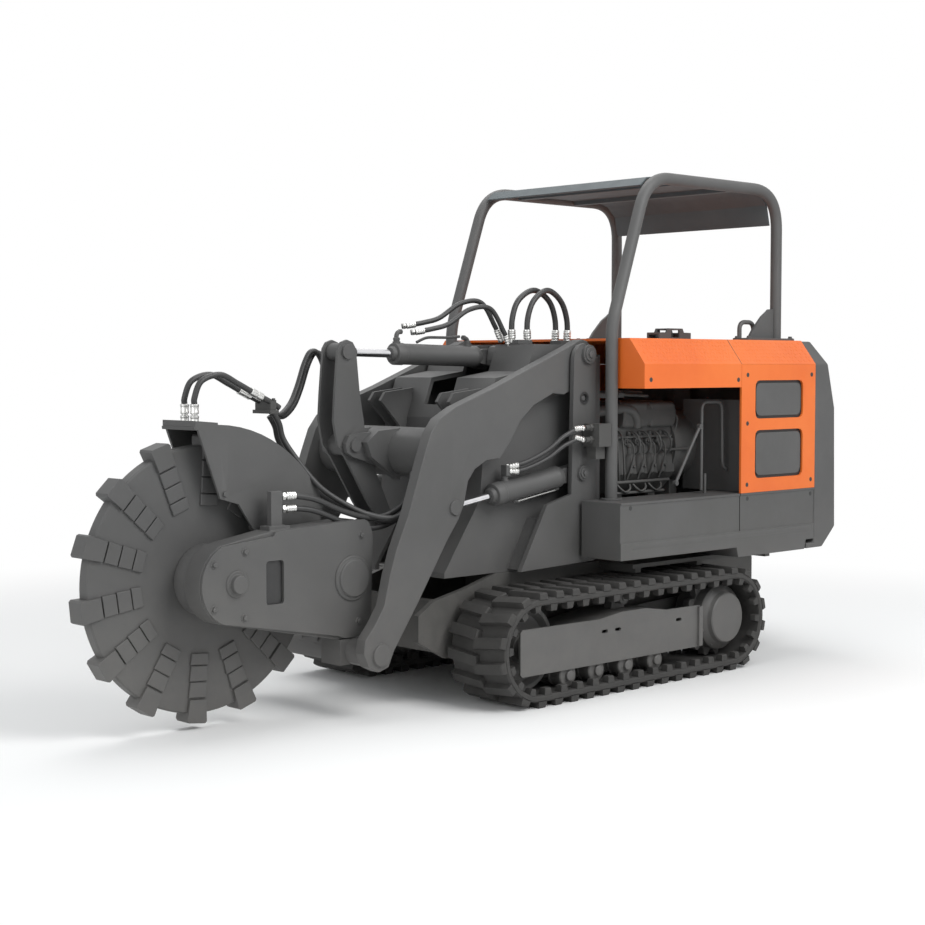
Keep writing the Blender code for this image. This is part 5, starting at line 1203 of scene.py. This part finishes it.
bracket_side = [(0.700, 1.6805), (0.960, 1.6805), (0.960, 1.722), (0.902, 1.722), (0.890, 1.7435),
                (0.770, 1.7435), (0.758, 1.722), (0.700, 1.722)]
bracket_hole = [(0.796, 1.695), (0.864, 1.695), (0.864, 1.734), (0.796, 1.734)]
bracket = [holed(bracket_side, bracket_hole, x, x + 0.012) for x in (0.156, 0.232)]
bracket.append(block((0.166, 0.234), (0.700, 0.758), (1.7100, 1.7216)))
bracket.append(block((0.166, 0.234), (0.902, 0.960), (1.7100, 1.7216)))
bracket.append(block((0.166, 0.234), (0.772, 0.888), (1.7350, 1.7432)))
bracket.append(block((0.150, 0.250), (0.692, 0.968), (1.6800, 1.6845)))
piece("hood_bracket", bracket, powder_grey, "carrier", [], 0.0015)
print(len(screws), "screws on each side")

# %% [markdown]
# ## Side boxes and tower pins
# A ledge with a sloping edge runs along the foot of each side box.  The pins in the tower's outer
# flanges end in stepped caps with a hexagon, and a bolt sits in a hole with a rubber ring.

# %% Ledge and pin caps
LEDGE = [(-0.086, 0.708), (1.375, 0.708), (1.375, 0.664), (-0.101, 0.664)]
rings = []
for x, inset in ((0.7290, 0.0), (0.7342, 0.0), (0.7395, 0.009)):
    rings.append([(x, y + inset * (1 if y < 0 else -1), z + inset * (1 if z < 0.69 else -1))
                  for y, z in LEDGE])
vertices, faces = grid(np.array(rings), close_v=True)
both_sides("side_box_ledge", [(vertices, faces + [(3, 2, 1, 0), (8, 9, 10, 11)])], powder_grey,
           "carrier", [])

ARM_PIVOT, RECESS = (-0.112, 1.602), (-0.137, 1.391)
bosses = []
for (y, z), radius, out in ((ARM_PIVOT, 0.034, 0.486), (CYL_PIN, 0.026, 0.484)):
    bosses.append(turned([(-0.004, 0), (-0.004, radius), (0.005, radius), (0.007, radius - 0.002),
                          (0.007, 0)], (out, y, z), steps=40))
    bosses += hexagon((out + 0.007, y, z), (1, 0, 0), radius, 0.008)
bosses += hexagon((0.4580, *RECESS), (1, 0, 0), 0.024, 0.009)
grommet = turned([(-0.0112, 0.0), (-0.0112, 0.0195), (0.0, 0.0195), (0.0005, 0.030),
                  (0.0025, 0.031), (0.003, 0.0215), (-0.0100, 0.0185), (-0.0100, 0.0)],
                 (0.4702, *RECESS), steps=40)
both_sides("tower_pin_caps", bosses, powder_grey, "carrier", [], 0.0006)
both_sides("tower_grommet", [grommet], hose_rubber, "carrier", [])
print(len(bosses), "parts in the pin caps")

# %% [markdown]
# ## Engine bay
# A four-cylinder diesel lies across the bay.  Seen from its open side it is a crowd of cast
# pods, rounded head covers, injectors and bent steel pipes, with a belt of bolts round the
# flywheel housing.  Pods are turned, pipes are swept, and all repeat once for each cylinder.

# %% Head covers
ENGINE_SIDE = 0.362
CYLINDER_YS = [0.31 + 0.082 * k for k in range(4)]
DRUM_X, DRUM_Z, DRUM_FRONT = 0.20, 1.13, 0.6605

covers = [block((0.300, 0.389), (y0, y1), (1.232, 1.362))
          for y0, y1 in ((0.246, 0.444), (0.456, 0.655))]
piece("head_covers", covers, cast_grey, "carrier", [], 0.020, 4)
print(len(covers), "head covers cast")

# %% Injection pods and pipes
pods, pipes, bolts = [], [], []
for y in CYLINDER_YS:
    pods.append(turned([(0, 0), (0.006, 0.018), (0.022, 0.032), (0.060, 0.037), (0.098, 0.034),
                        (0.114, 0.024), (0.120, 0.016), (0.150, 0.015), (0.152, 0.020),
                        (0.168, 0.020), (0.170, 0.012), (0.230, 0.012), (0.230, 0)],
                       (ENGINE_SIDE + 0.006, y, 0.985), (0, 0, 1), 28))
    pods.append(turned([(0, 0.012), (0, 0.026), (0.010, 0.026), (0.012, 0.020), (0.030, 0.018),
                        (0.030, 0)], (ENGINE_SIDE - 0.004, y - 0.036, 1.165), (1, 0, 0), 20))
    bolts += hexagon((ENGINE_SIDE + 0.026, y - 0.036, 1.165), (1, 0, 0), 0.018, 0.010)
    bolts += hexagon((ENGINE_SIDE + 0.002, y + 0.032, 1.205), (1, 0, 0), 0.016, 0.010)
    bolts += hexagon((ENGINE_SIDE + 0.043, y, 1.040), (1, 0, 0), 0.014, 0.008)
    pipes.append(tube([(0.372, y, 1.215), (0.412, y + 0.006, 1.205), (0.430, y + 0.016, 1.165),
                       (0.418, y + 0.022, 1.120), (0.392, y + 0.024, 1.100)], 0.0050, 10))
    pipes.append(tube([(0.392, y - 0.036, 1.170), (0.424, y - 0.030, 1.150),
                       (0.420, y - 0.020, 1.095), (0.404, y - 0.024, 1.030),
                       (0.384, y - 0.028, 0.975)], 0.0045, 10))
piece("injection_pods", pods + bolts, cast_grey, "carrier", [], 0.001)
for y in (0.165, 0.185, 0.225):
    pipes.append(tube([(0.340, y + 0.020, 1.225), (0.392, y + 0.004, 1.195), (0.410, y, 1.110),
                       (0.404, y + 0.012, 1.020), (0.380, y + 0.040, 0.970)], 0.0055, 12, 0.008))
for z, y1, r in ((0.962, 0.60, 0.0085), (0.908, 0.56, 0.0080), (1.188, 0.62, 0.0060)):
    pipes.append(tube([(0.385, 0.12, z), (0.390, 0.30, z), (0.390, y1, z)], r, 14, 0.02))
for y in (0.20, 0.32, 0.44):
    pipes.append(tube([(0.380, y, 0.958), (0.402, y + 0.015, 0.930), (0.404, y + 0.050, 0.914),
                       (0.402, y + 0.085, 0.930), (0.380, y + 0.100, 0.958)], 0.0055))
pipes.append(pipe([(0.385, 0.510, 1.180), (0.402, 0.522, 1.118), (0.402, 0.745, 1.116)],
                  0.0075, 0.03))
pipes.append(pipe([(0.375, 0.640, 1.310), (0.380, 0.690, 1.280), (0.380, 0.660, 1.200)],
                  0.0050, 0.03))
for z, x in ((1.392, 0.330), (1.408, 0.290)):
    pipes.append(tube([(x, 0.06, z), (x, 0.25, z + 0.008), (x, 0.50, z)], 0.008, 12, 0.02))
piece("engine_pipes", pipes, cast_grey, "carrier")
duct = [tube([(0.330, 0.045, 1.318), (0.345, 0.150, 1.322), (0.368, 0.245, 1.330),
              (0.384, 0.310, 1.318), (0.386, 0.345, 1.280), (0.380, 0.352, 1.235)],
             0.026, 24, 0.012)]
for y in (0.10, 0.17, 0.24):
    duct.append(block((0.300, 0.360), (y, y + 0.045), (1.386, 1.412)))
piece("intake_duct", duct, cast_grey, "carrier", [], 0.003)
print("engine dressed with", len(pipes), "pipes")

# %% Flywheel rim
rim = [(DRUM_FRONT - 0.012, 0.150), (DRUM_FRONT - 0.012, 0.198), (DRUM_FRONT + 0.006, 0.202),
       (DRUM_FRONT + 0.030, 0.202), (DRUM_FRONT + 0.034, 0.194), (DRUM_FRONT + 0.034, 0.150),
       (DRUM_FRONT - 0.012, 0.150)]
drum_parts = [turned(rim, (DRUM_X, 0, DRUM_Z), (0, 1, 0), 72)]
dome = [(DRUM_FRONT, 0.150)] + [(DRUM_FRONT - 0.060 * math.sin(a), 0.110 * math.cos(a))
                                for a in np.linspace(0, math.pi / 2, 9)]
drum_parts.append(turned(dome, (DRUM_X, 0, DRUM_Z), (0, 1, 0), 56))
drum_parts += bolt_circle((DRUM_X, DRUM_FRONT - 0.012, DRUM_Z), (0, -1, 0), 0.176, 16, 0.016,
                          0.008, 0.5)
piece("flywheel_rim", drum_parts, cast_grey, "carrier", [], 0.001)
print("flywheel rim bolted")

# %% Pipes and bulkhead of the bay
HOOP_X = 0.60
hoop_pipe = pipe([(HOOP_X, 0.605, 0.915), (HOOP_X, 0.605, 1.363), (HOOP_X, 0.770, 1.363),
                  (HOOP_X, 0.777, 1.032), (HOOP_X, 0.812, 1.012)], 0.0085, 0.045)
brace = [tube([(HOOP_X, 0.590, 1.240), (HOOP_X, 0.495, 1.103), (HOOP_X, 0.400, 0.962)],
              0.0085, 16, 0.02)]
for y, z in ((0.590, 1.240), (0.400, 0.962)):
    brace.append(turned([(-0.010, 0), (-0.010, 0.013), (0.010, 0.013), (0.010, 0)],
                        (HOOP_X, y, z), (1, 0, 0), 20))
stay = tube([(HOOP_X, 0.633, 0.8996), (HOOP_X, 0.633, 0.95), (HOOP_X, 0.633, 1.0)], 0.0085, 16,
            0.02)
piece("bay_pipework", [hoop_pipe, stay] + brace, powder_grey, "carrier",
      ["bay_frame"])
bulkhead = plate([(0.30, 0.9004), (0.705, 0.9004), (0.705, 1.372), (0.30, 1.372)], 0.830, 0.834,
                 "y")
piece("bay_bulkhead", [bulkhead], powder_grey, "carrier", [], 0.001)
print("bay closed behind the flywheel")

# %% [markdown]
# ## Canopy
# Each hoop is one steel tube, bent four times on a mandrel, so its section stays round in the
# bends.  The sheet-metal roof lies between the hoops.

# %% Canopy hoops
CANOPY_X, TUBE_R = 0.56, 0.030
hoop_line = [(CANOPY_X, -0.04, 0.8996), (CANOPY_X, -0.04, 1.745), (CANOPY_X, 0.2155, 2.470),
             (CANOPY_X, 1.28, 2.470), (CANOPY_X, 1.28, 1.685)]
hoop = [swept(bent(hoop_line, (0.07, 0.165, 0.205), 14), TUBE_R - 0.0002, 36)]
hoop.append(turned([(0, 0.0305), (0, 0.052), (0.007, 0.052), (0.008, 0.050), (0.008, 0.0305),
                    (0, 0.0305)], (CANOPY_X, -0.04, 0.8995), (0, 0, 1), 32))
gusset = np.vstack([[(1.05, 1.689), (1.2505, 1.689), (1.2505, 1.846)],
                    arc((1.222, 1.820), 0.026, 90, 140, 5),
                    [(1.150, 1.805), (1.075, 1.735), (1.052, 1.708)]])
hoop.append(plate(gusset, CANOPY_X - 0.008, CANOPY_X + 0.008))
foot = rounded([(CANOPY_X - 0.055, 0.97), (CANOPY_X + 0.055, 0.97), (CANOPY_X + 0.055, 1.385),
                (CANOPY_X - 0.055, 1.385)], 0.02)
hoop.append(plate(foot, 1.6805, 1.6914, "z"))
for x in (CANOPY_X - 0.038, CANOPY_X + 0.038):
    for y in (0.995, 1.36):
        hoop += hexagon((x, y, 1.6914), (0, 0, 1), 0.020, 0.009, 0.002)
both_sides("canopy_hoop_tube", hoop, powder_grey, "carrier", ["canopy_hoop"], 0.002)
loop = pipe([(CANOPY_X - 0.030, 1.005, 1.69), (CANOPY_X - 0.030, 1.005, 1.775),
             (CANOPY_X - 0.030, 1.125, 1.775), (CANOPY_X - 0.030, 1.125, 1.69)], 0.012, 0.045)
piece("lifting_loop", [loop], powder_grey, "carrier")
print("canopy hoops bent")
